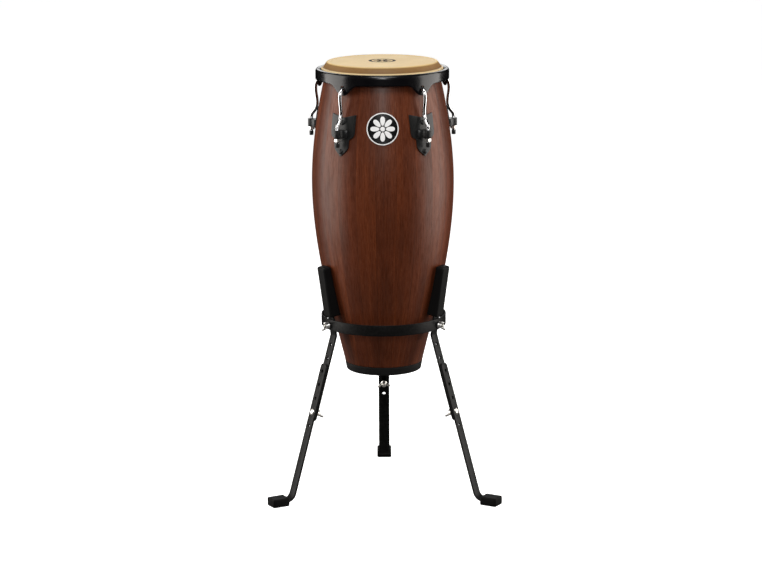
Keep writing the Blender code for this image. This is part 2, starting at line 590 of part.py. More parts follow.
steps_up = [PAD_W0 + (PAD_W1 - PAD_W0) * k / 4 for k in range(5)]
pad = outline("pad_master", [[(PAD_W1, PAD_OUT), (PAD_W0, PAD_OUT)] + [(w, -pad_in(w)) for w in steps_up]], PAD_W / 2, side_frame)
bm = bmesh.new()
bm.from_mesh(pad.data)
bmesh.ops.recalc_face_normals(bm, faces=bm.faces)
bmesh.ops.dissolve_limit(bm, angle_limit=math.radians(1), verts=bm.verts, edges=bm.edges)
bmesh.ops.bevel(bm, geom=[e for e in bm.edges if e.calc_face_angle(0) > math.radians(45)], offset=0.0032, segments=2,
                affect="EDGES", profile=0.5)
bmesh.ops.triangulate(bm, faces=[f for f in bm.faces if len(f.verts) > 4])
bm.to_mesh(pad.data)
bm.free()
bm = bmesh.new()
depth = ARM_END + 0.0004 - PAD_W0 + 0.02
bmesh.ops.create_cube(bm, size=1.0, matrix=arm_frame @ Matrix.Translation((0, ARM_END + 0.0004 - depth / 2, 0))
                      @ Matrix.Diagonal((BAR_W + 2 * GAP, depth, BAR_T + 2 * GAP, 1)))
boolean(pad, from_bmesh("pad_pocket", bm))


# --------------------------------------------- clamp bolts and wing nuts
def clamp_bolt(name, centre, direction, head_from, shank_to):
    """Carriage bolt: domed head at head_from, shank running to shank_to."""
    d = Vector(direction).normalized()
    sign = 1.0 if head_from > shank_to else -1.0
    bolt = rods(name, [(0.0039, abs(head_from - shank_to) + 0.001,
                        along(d, centre + d * ((head_from + shank_to) / 2 + sign * 0.0005)), 12)])
    dome = turned("dome", [(0.0, 0.0034), (0.0045, 0.0029), (0.0075, 0.0012), (0.0080, 0.0), (0.0, 0.0)], closed=False, steps=16)
    dome.data.transform(along(d * sign, centre + d * head_from))
    return boolean(bolt, dome, "UNION")


def wing_nut(name, centre, direction, start, roll):
    """Wing nut whose foot is at start along the direction, its wings turned by roll degrees."""
    d = Vector(direction).normalized()
    hub = turned(name, [(0.0078, 0.0), (0.0076, 0.0030), (0.0060, 0.0095), (0.0041, 0.0095), (0.0041, 0.0)], steps=16)
    wing = [(0.0052, 0.0012), (0.0092, 0.0016), (0.0128, 0.0056), (0.0150, 0.0118), (0.0142, 0.0152), (0.0112, 0.0160),
            (0.0086, 0.0138), (0.0062, 0.0086), (0.0048, 0.0070)]
    for side in (1, -1):
        w = outline("wing", [[(side * x, z) for x, z in wing]], 0.0015,
                    Matrix(((1, 0, 0, 0), (0, 0, -1, 0), (0, 1, 0, 0), (0, 0, 0, 1))))
        boolean(hub, w, "UNION")
    hub.data.transform(Matrix.Rotation(math.radians(roll), 4, "Z"))
    hub.data.transform(along(d, centre + d * start))
    return hub


leg_bolt = clamp_bolt("leg_bolt_master", bolt_c, leg_n, BAR_T / 2 + GAP, -STACK - BAR_T / 2 - 0.0125)
leg_wings = [wing_nut("leg_wing_master_%d" % i, bolt_c, -leg_n, STACK + BAR_T / 2 + GAP, a) for i, a in enumerate(LEG_WING_TURN)]
ring_bolt = clamp_bolt("ring_bolt_master", arm_c, arm_n, -BAR_T / 2 - GAP, 0.0222)
ring_wings = [wing_nut("ring_wing_master_%d" % i, arm_c, arm_n, 0.0098, a) for i, a in enumerate(RING_WING_TURN)]

for i, azimuth in enumerate(LEG_AZ, 1):
    swing = axis_empty("axis_leg_swing_%d" % i, azimuth, arm_c, arm_n)
    slide = axis_empty("axis_leg_height_%d" % i, azimuth, bolt_c, -leg_u, swing)
    spin_a = axis_empty("axis_ring_wing_nut_%d" % i, azimuth, arm_c, arm_n)
    spin_b = axis_empty("axis_leg_wing_nut_%d" % i, azimuth, bolt_c, leg_n, slide)
    place(ring_bolt, "ring_bolt_%d" % i, azimuth, arm_c, STEEL, None)
    place(ring_wings[i - 1], "ring_wing_nut_%d" % i, azimuth, arm_c, NUTS, spin_a)
    place(upper, "upper_leg_%d" % i, azimuth, arm_c, BLACK, swing)
    place(pad, "arm_pad_%d" % i, azimuth, arm_c, RUBBER, swing)
    place(lower, "lower_leg_%d" % i, azimuth, bolt_c, BLACK, slide)
    place(foot, "foot_%d" % i, azimuth, bolt_c, RUBBER, slide)
    place(leg_bolt, "leg_bolt_%d" % i, azimuth, bolt_c, NUTS, slide)
    place(leg_wings[i - 1], "leg_wing_nut_%d" % i, azimuth, bolt_c, NUTS, spin_b)

# the masters were only patterns for the copies
for o in list(bpy.data.objects):
    if o.type == "MESH" and PARTS not in o.users_collection and CUTTERS not in o.users_collection:
        bpy.data.objects.remove(o)
bpy.context.view_layer.update()
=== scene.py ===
"""Looks of the conga drum in its basket stand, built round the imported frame."""
import math

import bmesh
import bpy
import numpy as np
from mathutils import Matrix, Vector
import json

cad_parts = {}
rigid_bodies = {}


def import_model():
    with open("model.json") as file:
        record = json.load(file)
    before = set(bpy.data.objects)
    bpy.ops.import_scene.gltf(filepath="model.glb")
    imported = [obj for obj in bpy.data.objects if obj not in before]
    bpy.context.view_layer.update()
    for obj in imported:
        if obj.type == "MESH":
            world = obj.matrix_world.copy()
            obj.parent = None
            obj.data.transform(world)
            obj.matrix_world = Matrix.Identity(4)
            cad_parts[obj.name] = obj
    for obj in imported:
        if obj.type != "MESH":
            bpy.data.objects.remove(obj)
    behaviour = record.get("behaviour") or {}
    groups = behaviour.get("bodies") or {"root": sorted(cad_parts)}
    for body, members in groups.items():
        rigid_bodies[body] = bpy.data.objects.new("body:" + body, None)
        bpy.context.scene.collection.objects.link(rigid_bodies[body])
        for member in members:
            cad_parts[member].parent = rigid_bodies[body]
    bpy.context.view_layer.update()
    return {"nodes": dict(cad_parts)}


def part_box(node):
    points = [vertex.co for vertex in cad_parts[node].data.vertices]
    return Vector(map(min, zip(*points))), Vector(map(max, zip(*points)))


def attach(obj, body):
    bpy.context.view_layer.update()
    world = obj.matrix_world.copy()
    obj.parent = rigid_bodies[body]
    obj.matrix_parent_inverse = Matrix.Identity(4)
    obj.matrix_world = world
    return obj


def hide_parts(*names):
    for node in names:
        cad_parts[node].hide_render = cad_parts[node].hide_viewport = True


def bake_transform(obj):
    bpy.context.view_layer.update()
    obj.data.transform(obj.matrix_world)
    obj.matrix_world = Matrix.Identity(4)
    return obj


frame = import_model()
NODES = frame["nodes"]

# ------------------------------------------------------- where things are
lo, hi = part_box("bottom_rim_rubber")
AX, AY, Z0 = (lo.x + hi.x) / 2, (lo.y + hi.y) / 2, lo.z
AZ_LUG = (-36.0, 36.0, 108.0, 180.0, -108.0)
AZ_LEG = (-60.0, 60.0, 180.0)
GAP = 0.0003
WALL = 0.011
KEYS = [(0.000, 0.0841), (0.100, 0.1088), (0.200, 0.1336), (0.300, 0.1515), (0.370, 0.1590),
        (0.440, 0.1615), (0.510, 0.1580), (0.580, 0.1492), (0.650, 0.1366), (0.700, 0.1253)]
HOOP_R, HOOP_LOW, HOOP_TOP = 0.1511, 0.6717, 0.6961
ROD_R, ROD_AXIS = 0.004, 0.1710
BAR_T, BAR_W = 0.0045, 0.0255
LEAN, ARM = math.radians(16.5), math.radians(8.5)
BOLT_RZ, ARM_RZ = (0.1878, -0.0820), (0.1350, 0.1175)
STACK = BAR_T + GAP
PITCH, LOWER_TOP, UPPER_LOW, TRAVEL, ARM_END = 0.0321, 0.1135, -0.0190, 0.045, 0.128
FOOT_R, FOOT_H, FOOT_W = (0.2600, 0.3006), 0.0200, 0.034
SCREW_Z = (0.5876, 0.5237)
BADGE_Z, BADGE_R = 0.5776, 0.0355
RING_WING_TURN, LEG_WING_TURN = (50.0, -50.0, 25.0), (22.0, -22.0, 6.0)
BASE = Matrix.Translation((AX, AY, Z0))


def spline(keys):
    z = np.array([k[0] for k in keys])
    r = np.array([k[1] for k in keys])
    n, h = len(z), np.diff(z)
    a, b = np.zeros((n, n)), np.zeros(n)
    a[0, 0] = a[-1, -1] = 1.0
    for i in range(1, n - 1):
        a[i, i - 1], a[i, i], a[i, i + 1] = h[i - 1], 2 * (h[i - 1] + h[i]), h[i]
        b[i] = 6 * ((r[i + 1] - r[i]) / h[i] - (r[i] - r[i - 1]) / h[i - 1])
    m = np.linalg.solve(a, b)

    def value(x):
        i = int(min(max(np.searchsorted(z, x) - 1, 0), n - 2))
        u, v, w = z[i + 1] - x, x - z[i], h[i]
        return float(m[i] * u ** 3 / (6 * w) + m[i + 1] * v ** 3 / (6 * w)
                     + (r[i] / w - m[i] * w / 6) * u + (r[i + 1] / w - m[i + 1] * w / 6) * v)
    return value


shell_r = spline(KEYS)


def slope(z):
    return (shell_r(z + 0.002) - shell_r(z - 0.002)) / 0.004


def off_r(z, d):
    return shell_r(z) + d * math.sqrt(1 + slope(z) ** 2)


# ------------------------------------------------------------- mesh tools
def make(name, verts, faces, smooth=35.0):
    me = bpy.data.meshes.new(name)
    me.from_pydata([tuple(v) for v in verts], [], faces)
    me.update()
    ob = bpy.data.objects.new(name, me)
    bpy.context.scene.collection.objects.link(ob)
    tidy(ob, smooth)
    return ob


def tidy(ob, smooth=35.0, weld=0.0):
    bm = bmesh.new()
    bm.from_mesh(ob.data)
    if weld:
        bmesh.ops.remove_doubles(bm, verts=bm.verts, dist=weld)
        bmesh.ops.dissolve_degenerate(bm, edges=bm.edges, dist=weld * 0.5)
    bmesh.ops.recalc_face_normals(bm, faces=bm.faces)
    bm.to_mesh(ob.data)
    bm.free()
    ob.data.shade_smooth()
    ob.data.set_sharp_from_angle(angle=math.radians(smooth))
    return ob


def turned(name, profile, n=192, closed=True, smooth=35.0):
    """A turned piece about local Z: (r, z) points; r == 0 ends are poles."""
    verts, faces, rows = [], [], []
    for r, z in profile:
        if r < 1e-7:
            rows.append([len(verts)] * n)
            verts.append((0, 0, z))
        else:
            rows.append(list(range(len(verts), len(verts) + n)))
            verts += [(r * math.sin(math.tau * i / n), -r * math.cos(math.tau * i / n), z) for i in range(n)]
    pairs = list(zip(rows, rows[1:] + rows[:1])) if closed else list(zip(rows, rows[1:]))
    for a, b in pairs:
        for i in range(n):
            j = (i + 1) % n
            f = [a[i], a[j], b[j], b[i]]
            f = [v for k, v in enumerate(f) if v != f[k - 1]]
            if len(set(f)) >= 3:
                faces.append(f)
    return make(name, verts, faces, smooth)


def rounded(points, radius, seg=3, closed=True):
    """A polygon with its corners rounded; radius may be a list."""
    out, n = [], len(points)
    for i, p in enumerate(points):
        r = radius[i] if isinstance(radius, (list, tuple)) else radius
        if r <= 0 or (not closed and i in (0, n - 1)):
            out.append(tuple(p))
            continue
        p, a, b = Vector(p), Vector(points[i - 1]), Vector(points[(i + 1) % n])
        u, v = (a - p), (b - p)
        lu, lv = u.length, v.length
        u.normalize(); v.normalize()
        ang = u.angle(v)
        if ang > math.radians(176):
            out.append(tuple(p))
            continue
        reach = min(r / math.tan(ang / 2), lu * 0.48, lv * 0.48)
        r = reach * math.tan(ang / 2)
        c = p + (u + v).normalized() * (r / math.sin(ang / 2))
        s, e = p + u * reach - c, p + v * reach - c
        total = math.atan2(s.x * e.y - s.y * e.x, s.dot(e))
        for k in range(seg + 1):
            t = total * k / seg
            out.append((c.x + s.x * math.cos(t) - s.y * math.sin(t), c.y + s.x * math.sin(t) + s.y * math.cos(t)))
    return out


def bake(ob):
    ev = ob.evaluated_get(bpy.context.evaluated_depsgraph_get())
    me = bpy.data.meshes.new_from_object(ev)
    ob.modifiers.clear()
    ob.data = me
    return ob


def outline(name, splines, half, matrix=Matrix.Identity(4), bevel=0.0, seg=2, smooth=35.0):
    """A flat outline with holes, given a thickness and rounded edges."""
    cu = bpy.data.curves.new(name, "CURVE")
    cu.dimensions, cu.fill_mode, cu.extrude = "2D", "BOTH", half
    for pts in splines:
        sp = cu.splines.new("POLY")
        sp.points.add(len(pts) - 1)
        for p, (x, y) in zip(sp.points, pts):
            p.co = (x, y, 0, 1)
        sp.use_cyclic_u = True
    tmp = bpy.data.objects.new(name + "_c", cu)
    bpy.context.scene.collection.objects.link(tmp)
    bpy.context.view_layer.update()
    me = bpy.data.meshes.new_from_object(tmp.evaluated_get(bpy.context.evaluated_depsgraph_get()))
    bpy.data.objects.remove(tmp)
    ob = bpy.data.objects.new(name, me)
    bpy.context.scene.collection.objects.link(ob)
    tidy(ob, smooth, weld=0.00001)
    if bevel:
        bm = bmesh.new()
        bm.from_mesh(me)
        bmesh.ops.dissolve_limit(bm, angle_limit=math.radians(1), verts=bm.verts, edges=bm.edges)
        edges = [e for e in bm.edges if len(e.link_faces) == 2 and e.calc_face_angle(0) > math.radians(50)
                 and abs(e.verts[0].co.z - e.verts[1].co.z) < 1e-6]
        bmesh.ops.bevel(bm, geom=edges, offset=bevel, segments=seg, affect="EDGES", profile=0.5, clamp_overlap=True)
        bmesh.ops.triangulate(bm, faces=[f for f in bm.faces if len(f.verts) > 4])
        bm.to_mesh(me)
        bm.free()
        tidy(ob, smooth)
    me.transform(matrix)
    return ob


def boolean(ob, other, operation="DIFFERENCE", smooth=35.0, keep=False):
    before = ob.data
    for solver in ("EXACT", "MANIFOLD"):
        m = ob.modifiers.new(operation, "BOOLEAN")
        m.operation, m.object, m.solver = operation, other, solver
        bake(ob)
        if len(ob.data.polygons):
            break
        ob.data = before
    if not keep:
        bpy.data.objects.remove(other)
    return tidy(ob, smooth, weld=0.000005)


def cylinder(name, radius, length, matrix, sides=32, bevel=0.0):
    p = [(0, -length / 2), (radius - bevel, -length / 2)] + ([(radius, -length / 2 + bevel), (radius, length / 2 - bevel)] if bevel else [(radius, -length / 2), (radius, length / 2)])[0:]
    p += [(radius - bevel, length / 2), (0, length / 2)] if bevel else [(0, length / 2)]
    if not bevel:
        p = [(0, -length / 2), (radius, -length / 2), (radius, length / 2), (0, length / 2)]
    ob = turned(name, p, sides, closed=False)
    ob.data.transform(matrix)
    return ob


def joined(name, obs, smooth=35.0):
    bm = bmesh.new()
    for o in obs:
        bm.from_mesh(o.data)
        bpy.data.objects.remove(o)
    me = bpy.data.meshes.new(name)
    bm.to_mesh(me)
    bm.free()
    ob = bpy.data.objects.new(name, me)
    bpy.context.scene.collection.objects.link(ob)
    return tidy(ob, smooth)


def sweep(name, path, sections, up, smooth=35.0, caps=True):
    """Loops of (x, y) swept along points, x along `up` and y across it."""
    verts, faces, n = [], [], len(sections[0])
    for i, p in enumerate(path):
        p = Vector(p)
        a, b = Vector(path[max(i - 1, 0)]), Vector(path[min(i + 1, len(path) - 1)])
        if 0 < i < len(path) - 1:
            d0, d1 = (p - a).normalized(), (b - p).normalized()
            d = (d0 + d1).normalized()
            k = 1 / max(0.5, d.dot(d1))
        else:
            d, k = (b - a).normalized(), 1.0
        x = Vector(up)
        y = d.cross(x).normalized()
        for sx, sy in sections[i]:
            verts.append(p + x * sx + y * (sy * k))
    for i in range(len(path) - 1):
        for j in range(n):
            m = (j + 1) % n
            faces.append([i * n + j, i * n + m, (i + 1) * n + m, (i + 1) * n + j])
    if caps:
        faces.append(list(range(n))[::-1])
        faces.append([(len(path) - 1) * n + j for j in range(n)])
    return make(name, verts, faces, smooth)


def along(direction, point):
    return Matrix.Translation(Vector(point)) @ Vector(direction).to_track_quat("Z", "Y").to_matrix().to_4x4()


def radial(r, t, z):
    return Vector((t, -r, z))


def turn(azimuth):
    return Matrix.Rotation(math.radians(azimuth), 4, "Z")


PIECES = []


def put(master, name, azimuth, body, mats, nodes=(), own=False):
    """Place a copy of a master (drawn at azimuth 0) and let it ride."""
    ob = bpy.data.objects.new(name, master.data.copy() if own else master.data)
    bpy.context.scene.collection.objects.link(ob)
    ob.matrix_world = BASE @ turn(azimuth)
    if not ob.data.materials:
        for m in (mats if isinstance(mats, (list, tuple)) else [mats]):
            ob.data.materials.append(m)
    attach(ob, body)
    if nodes:
        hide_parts(*([nodes] if isinstance(nodes, str) else nodes))
    PIECES.append(ob)
    return ob


# -------------------------------------------------------------- materials
class Mat:
    """A small helper for building node trees."""

    def __init__(self, name):
        self.m = bpy.data.materials.new(name)
        self.m.use_nodes = True
        self.t = self.m.node_tree
        self.b = self.t.nodes["Principled BSDF"]

    def add(self, kind, inputs=None, **props):
        n = self.t.nodes.new("ShaderNode" + kind)
        for k, v in props.items():
            setattr(n, k, v)
        for k, v in (inputs or {}).items():
            self.set(n.inputs[k], v)
        return n

    def set(self, socket, v):
        if isinstance(v, bpy.types.NodeSocket):
            self.t.links.new(v, socket)
        elif isinstance(v, (tuple, list)) and len(v) == 3 and socket.type == "RGBA":
            socket.default_value = (*v, 1.0)
        else:
            socket.default_value = v

    def math(self, op, a, b=0.0, c=0.0, clamp=False):
        n = self.t.nodes.new("ShaderNodeMath")
        n.operation, n.use_clamp = op, clamp
        for s, v in zip(n.inputs, (a, b, c)):
            self.set(s, v)
        return n.outputs[0]

    def ramp(self, fac, stops, interpolation="LINEAR"):
        n = self.t.nodes.new("ShaderNodeValToRGB")
        n.color_ramp.interpolation = interpolation
        e = n.color_ramp.elements
        while len(e) < len(stops):
            e.new(0.5)
        for s, (p, c) in zip(e, stops):
            s.position = p
            s.color = (*c, 1.0) if isinstance(c, (tuple, list)) else (c, c, c, 1.0)
        self.t.links.new(fac, n.inputs[0])
        return n.outputs[0]

    def mix(self, fac, a, b, mode="MIX"):
        n = self.t.nodes.new("ShaderNodeMix")
        n.data_type, n.blend_type, n.clamp_factor = "RGBA", mode, True
        self.set(n.inputs[0], fac)
        self.set(n.inputs[6], a)
        self.set(n.inputs[7], b)
        return n.outputs[2]

    def noise(self, vector, scale, detail=3.0, rough=0.5, dims="3D", distortion=0.0):
        n = self.add("TexNoise", {"Scale": scale, "Detail": detail, "Roughness": rough, "Distortion": distortion},
                     noise_dimensions=dims)
        self.t.links.new(vector, n.inputs["Vector"])
        return n.outputs["Fac"]

    def coord(self, kind="Object"):
        return self.t.nodes.new("ShaderNodeTexCoord").outputs[kind]

    def scaled(self, vector, scale):
        n = self.add("Mapping")
        n.inputs["Scale"].default_value = scale
        self.t.links.new(vector, n.inputs["Vector"])
        return n.outputs[0]

    def bump(self, height, strength, distance=0.001, normal=None):
        n = self.add("Bump", {"Strength": strength, "Distance": distance, "Height": height})
        if normal is not None:
            self.t.links.new(normal, n.inputs["Normal"])
        return n.outputs[0]

    def out(self, **kw):
        for k, v in kw.items():
            self.set(self.b.inputs[k.replace("_", " ")], v)
        return self.m


def powder(name, colour, rough, bump=0.25, worn=0.35, spec=0.24):
    """Black powder coat: fine pebble, slightly uneven gloss, rubbed edges."""
    m = Mat(name)
    c = m.coord()
    big = m.noise(c, 35.0, 3)
    fine = m.noise(c, 2600.0, 2, 0.6)
    col = m.mix(big, tuple(x * 0.8 for x in colour), tuple(x * 1.35 for x in colour))
    edge = m.add("NewGeometry").outputs["Pointiness"]
    wear = m.ramp(edge, [(0.50, 0.0), (0.60, 1.0)])
    scr = m.ramp(m.noise(c, 180.0, 4, 0.7), [(0.45, 0.0), (0.75, 1.0)])
    amount = m.math("MULTIPLY", m.math("MULTIPLY", wear, scr), worn)
    col = m.mix(amount, col, (0.10, 0.10, 0.10))
    r = m.math("ADD", m.math("MULTIPLY", m.math("SUBTRACT", big, 0.5), 0.12), rough)
    return m.out(Base_Color=col, Roughness=r, Specular_IOR_Level=spec, Normal=m.bump(fine, bump, 0.00012))


def metal(name, colour, rough, streak=0.0):
    m = Mat(name)
    c = m.coord()
    n1 = m.noise(c, 60.0, 4, 0.6)
    n2 = m.noise(c, 900.0, 3, 0.6)
    col = m.mix(n1, tuple(x * 0.9 for x in colour), colour)
    r = m.math("ADD", rough, m.math("MULTIPLY", m.math("SUBTRACT", n1, 0.45), 0.18), clamp=True)
    return m.out(Base_Color=col, Metallic=1.0, Roughness=r, Normal=m.bump(n2, 0.05 + streak, 0.00005))


def rubber_mat(name, colour, rough, grain=1800.0, bump=0.35, spec=0.15):
    m = Mat(name)
    c = m.coord()
    big, fine = m.noise(c, 25.0, 3), m.noise(c, grain, 3, 0.65)
    col = m.mix(big, tuple(x * 0.75 for x in colour), tuple(x * 1.3 for x in colour))
    r = m.math("ADD", rough, m.math("MULTIPLY", m.math("SUBTRACT", big, 0.5), 0.14))
    return m.out(Base_Color=col, Roughness=r, Specular_IOR_Level=spec, Normal=m.bump(fine, bump, 0.0002))


def wood_material():
    """Red-brown staves: own tone and grain for each, pores, satin lacquer."""
    m = Mat("stave_wood")
    c = m.coord()
    s = m.add("SeparateXYZ")
    m.t.links.new(c, s.inputs[0])
    x, y, z = s.outputs
    ang = m.math("ARCTAN2", x, m.math("MULTIPLY", y, -1.0))
    staves = 22.0
    u = m.math("ADD", m.math("MULTIPLY", ang, staves / math.tau), staves + 0.35)
    ident = m.math("FLOOR", u)
    frac = m.math("SUBTRACT", u, ident)
    wn = m.add("TexWhiteNoise", {"W": ident}, noise_dimensions="1D")
    tone, tone2 = wn.outputs["Value"], wn.outputs["Color"]
    sep = m.add("SeparateColor")
    m.t.links.new(tone2, sep.inputs[0])
    # coordinates along and across one stave, shifted for each stave
    across = m.math("MULTIPLY", frac, math.tau * 0.145 / staves)
    shift = m.math("MULTIPLY", ident, 3.713)
    comb = m.add("CombineXYZ", {"X": m.math("ADD", across, shift), "Y": m.math("MULTIPLY", tone, 9.0), "Z": z})
    v = comb.outputs[0]
    warp = m.noise(m.scaled(v, (9.0, 1.0, 2.6)), 1.0, 2)
    bent = m.add("CombineXYZ", {"X": m.math("ADD", m.math("ADD", across, shift), m.math("MULTIPLY", warp, 0.012)),
                                "Y": m.math("MULTIPLY", tone, 9.0), "Z": z}).outputs[0]
    bands = m.noise(m.scaled(bent, (150.0, 1.0, 1.1)), 1.0, 4, 0.55)
    lines = m.noise(m.scaled(bent, (620.0, 1.0, 5.0)), 1.0, 3, 0.6)
    pores = m.noise(m.scaled(v, (2300.0, 1.0, 95.0)), 1.0, 2, 0.6)
    base = m.ramp(tone, [(0.0, (0.084, 0.0160, 0.0046)), (0.25, (0.122, 0.0245, 0.0062)), (0.5, (0.096, 0.0205, 0.0070)),
                         (0.75, (0.152, 0.0340, 0.0090)), (1.0, (0.108, 0.0185, 0.0046))])
    dark = m.mix(0.45, base, (0.044, 0.0086, 0.0028))
    lightc = m.mix(0.22, base, (0.260, 0.066, 0.020))
    col = m.mix(m.ramp(bands, [(0.30, 0.0), (0.70, 1.0)]), dark, lightc)
    col = m.mix(m.math("MULTIPLY", m.ramp(lines, [(0.35, 1.0), (0.60, 0.0)]), 0.42), col, dark)
    pore = m.ramp(pores, [(0.30, 1.0), (0.42, 0.0)])
    col = m.mix(m.math("MULTIPLY", pore, 0.55), col, (0.018, 0.006, 0.003))
    # painted highlight: short pale flecks that stand in for glints where the open pores catch the light
    fleck = m.noise(m.scaled(bent, (1500.0, 1.0, 60.0)), 1.0, 2, 0.6)
    col = m.mix(m.math("MULTIPLY", m.ramp(fleck, [(0.58, 0.0), (0.72, 1.0)]), 0.42), col, (0.290, 0.105, 0.050))
    # short dark dashes along the grain, which also break up the sheen
    dash = m.ramp(m.noise(m.scaled(bent, (430.0, 1.0, 34.0)), 1.0, 3, 0.62), [(0.36, 1.0), (0.54, 0.0)])
    col = m.mix(m.math("MULTIPLY", dash, 0.30), col, (0.034, 0.0070, 0.0025))
    # broad cloudy darkening, as in dyed wood
    cloud = m.noise(m.scaled(bent, (26.0, 1.0, 4.2)), 1.0, 3, 0.6)
    col = m.mix(m.math("MULTIPLY", m.ramp(cloud, [(0.38, 1.0), (0.58, 0.0)]), 0.58), col, (0.048, 0.0108, 0.0044))
    # the glue line between two staves
    near = m.math("ABSOLUTE", m.math("SUBTRACT", frac, 0.5))
    seam = m.ramp(near, [(0.4875, 0.0), (0.496, 1.0)])
    col = m.mix(m.math("MULTIPLY", seam, 0.6), col, (0.018, 0.005, 0.002))
    rough = m.math("ADD", 0.335, m.math("ADD", m.math("MULTIPLY", lines, 0.14), m.math("MULTIPLY", tone, 0.05)))
    h = m.math("SUBTRACT", m.math("ADD", m.math("MULTIPLY", lines, 0.45), m.math("MULTIPLY", fleck, 0.35)),
               m.math("ADD", m.math("MULTIPLY", pore, 0.35), m.math("MULTIPLY", seam, 0.5)))
    nrm = m.bump(h, 0.26, 0.0003)
    gloss = m.math("SUBTRACT", 0.305, m.math("MULTIPLY", dash, 0.15))
    return m.out(Base_Color=col, Roughness=rough, Specular_IOR_Level=gloss,
                 Specular_Tint=(1.0, 0.82, 0.73), Normal=nrm, Coat_Weight=0.06,
                 Coat_Roughness=0.25)


def skin_material():
    """Natural skin: warm cream top, darker tan where it is pulled down, painted shade low on the collar and a painted
    highlight on its lip.
    """
    m = Mat("natural_skin")
    shift = m.add("Mapping")
    shift.inputs["Location"].default_value = (-AX, -AY, -Z0)
    m.t.links.new(m.coord(), shift.inputs["Vector"])
    c = shift.outputs[0]
    s = m.add("SeparateXYZ")
    m.t.links.new(c, s.inputs[0])
    x, y, z = s.outputs
    r = m.math("SQRT", m.math("ADD", m.math("MULTIPLY", x, x), m.math("MULTIPLY", y, y)))
    cloud = m.noise(c, 9.0, 4, 0.6)
    fibre = m.noise(m.scaled(c, (60.0, 240.0, 60.0)), 1.0, 4, 0.65, distortion=0.6)
    spots = m.noise(c, 420.0, 2, 0.5)
    top = m.mix(m.ramp(cloud, [(0.3, 0.0), (0.7, 1.0)]), (0.668, 0.468, 0.192), (0.772, 0.566, 0.254))
    top = m.mix(m.math("MULTIPLY", m.ramp(fibre, [(0.4, 1.0), (0.62, 0.0)]), 0.22), top, (0.60, 0.40, 0.17))
    top = m.mix(m.math("MULTIPLY", m.ramp(spots, [(0.30, 1.0), (0.38, 0.0)]), 0.35), top, (0.42, 0.25, 0.10))
    collar = m.mix(fibre, (0.175, 0.084, 0.021), (0.270, 0.150, 0.046))
    k = m.ramp(z, [(0.0, 1.0), (1.0, 0.0)])
    zz = m.math("DIVIDE", m.math("SUBTRACT", z, 0.7078), 0.0026, clamp=True)
    # painted shade: the collar is darkened further towards its bottom edge, in the crease where it meets the hoop
    band = m.math("DIVIDE", m.math("SUBTRACT", z, 0.6985), 0.0100, clamp=True)
    collar = m.mix(band, m.mix(0.35, collar, (0.110, 0.050, 0.014)), collar)
    col = m.mix(zz, collar, top)
    # painted highlight: a light line on the flared lip just inside the hoop
    lip_highlight = m.math("DIVIDE", m.math("SUBTRACT", 0.6978, z), 0.0008, clamp=True)
    col = m.mix(lip_highlight, col, (0.66, 0.50, 0.27))
    # a printed roundel in the middle: a ring and a six-petal flower
    th = m.math("ARCTAN2", y, x)
    ring_o = m.math("LESS_THAN", r, 0.0310)
    ring_i = m.math("GREATER_THAN", r, 0.0238)
    petal = m.math("MULTIPLY", m.math("SQRT", m.math("ABSOLUTE", m.math("COSINE", m.math("MULTIPLY", th, 3.0)))), 0.0206)
    flower = m.math("LESS_THAN", r, petal)
    heart = m.math("GREATER_THAN", r, 0.0034)
    mark = m.math("ADD", m.math("MULTIPLY", ring_o, ring_i), m.math("MULTIPLY", flower, heart), clamp=True)
    on_top = m.math("GREATER_THAN", z, 0.7105)
    ink = m.math("MULTIPLY", m.math("MULTIPLY", mark, on_top), 0.97)
    dry = m.math("SUBTRACT", 1.0, ink)
    col = m.mix(ink, col, (0.012, 0.007, 0.004))
    nrm = m.bump(m.math("ADD", fibre, m.math("MULTIPLY", spots, 0.3)), 0.22, 0.0004)
    return m.out(Base_Color=col, Roughness=0.55, Specular_IOR_Level=m.math("MULTIPLY", dry, 0.35),
                 Normal=nrm, Subsurface_Weight=m.math("MULTIPLY", dry, 0.06),
                 Subsurface_Radius=(0.010, 0.006, 0.003), Subsurface_Scale=0.2)


WOOD = wood_material()
SKIN = skin_material()
POWDER = powder("black_powder_coat", (0.0044, 0.0041, 0.0040), 0.44, 0.25, 0.3, 0.10)
RIMCOAT = powder("black_rim_coat", (0.0024, 0.0022, 0.0028), 0.22, 0.10, 0.12, 0.35)
PLATE = powder("black_plate_coat", (0.0085, 0.0087, 0.0085), 0.34, 0.2, 0.35, 0.28)
RUBBER = rubber_mat("black_rubber", (0.0095, 0.0093, 0.0090), 0.58)
PADRUB = rubber_mat("black_pad_rubber", (0.0050, 0.0048, 0.0047), 0.58, spec=0.095)
FOOTRUB = rubber_mat("black_foot_rubber", (0.0032, 0.0029, 0.0029), 0.60, 1400.0, 0.35, 0.095)
CHROME = metal("chrome_plate", (0.52, 0.52, 0.53), 0.07)
NUTCHROME = metal("chrome_nut_plate", (0.90, 0.88, 0.83), 0.32, 0.05)
WINGCHROME = metal("chrome_wing_plate", (0.97, 0.96, 0.93), 0.42, 0.05)
ZINC = metal("zinc_steel", (0.50, 0.49, 0.46), 0.34, 0.15)
SILVER = Mat("badge_silver_print")
_sn = SILVER.noise(SILVER.coord(), 700.0, 3)
SILVER = SILVER.out(Base_Color=SILVER.mix(_sn, (0.78, 0.77, 0.76), (0.90, 0.89, 0.88)), Metallic=0.06, Roughness=0.5,
                    Normal=SILVER.bump(_sn, 0.06, 0.00005))
BADGEBLACK = powder("badge_enamel", (0.0016, 0.0017, 0.0018), 0.32, 0.02, 0.0, 0.16)
TIPBLACK = powder("black_tip_plastic", (0.0080, 0.0080, 0.0080), 0.35, 0.1, 0.0)
INSIDE = Mat("raw_inside_wood")
_c = INSIDE.coord()
_n = INSIDE.noise(INSIDE.scaled(_c, (40.0, 40.0, 2.0)), 1.0, 4)
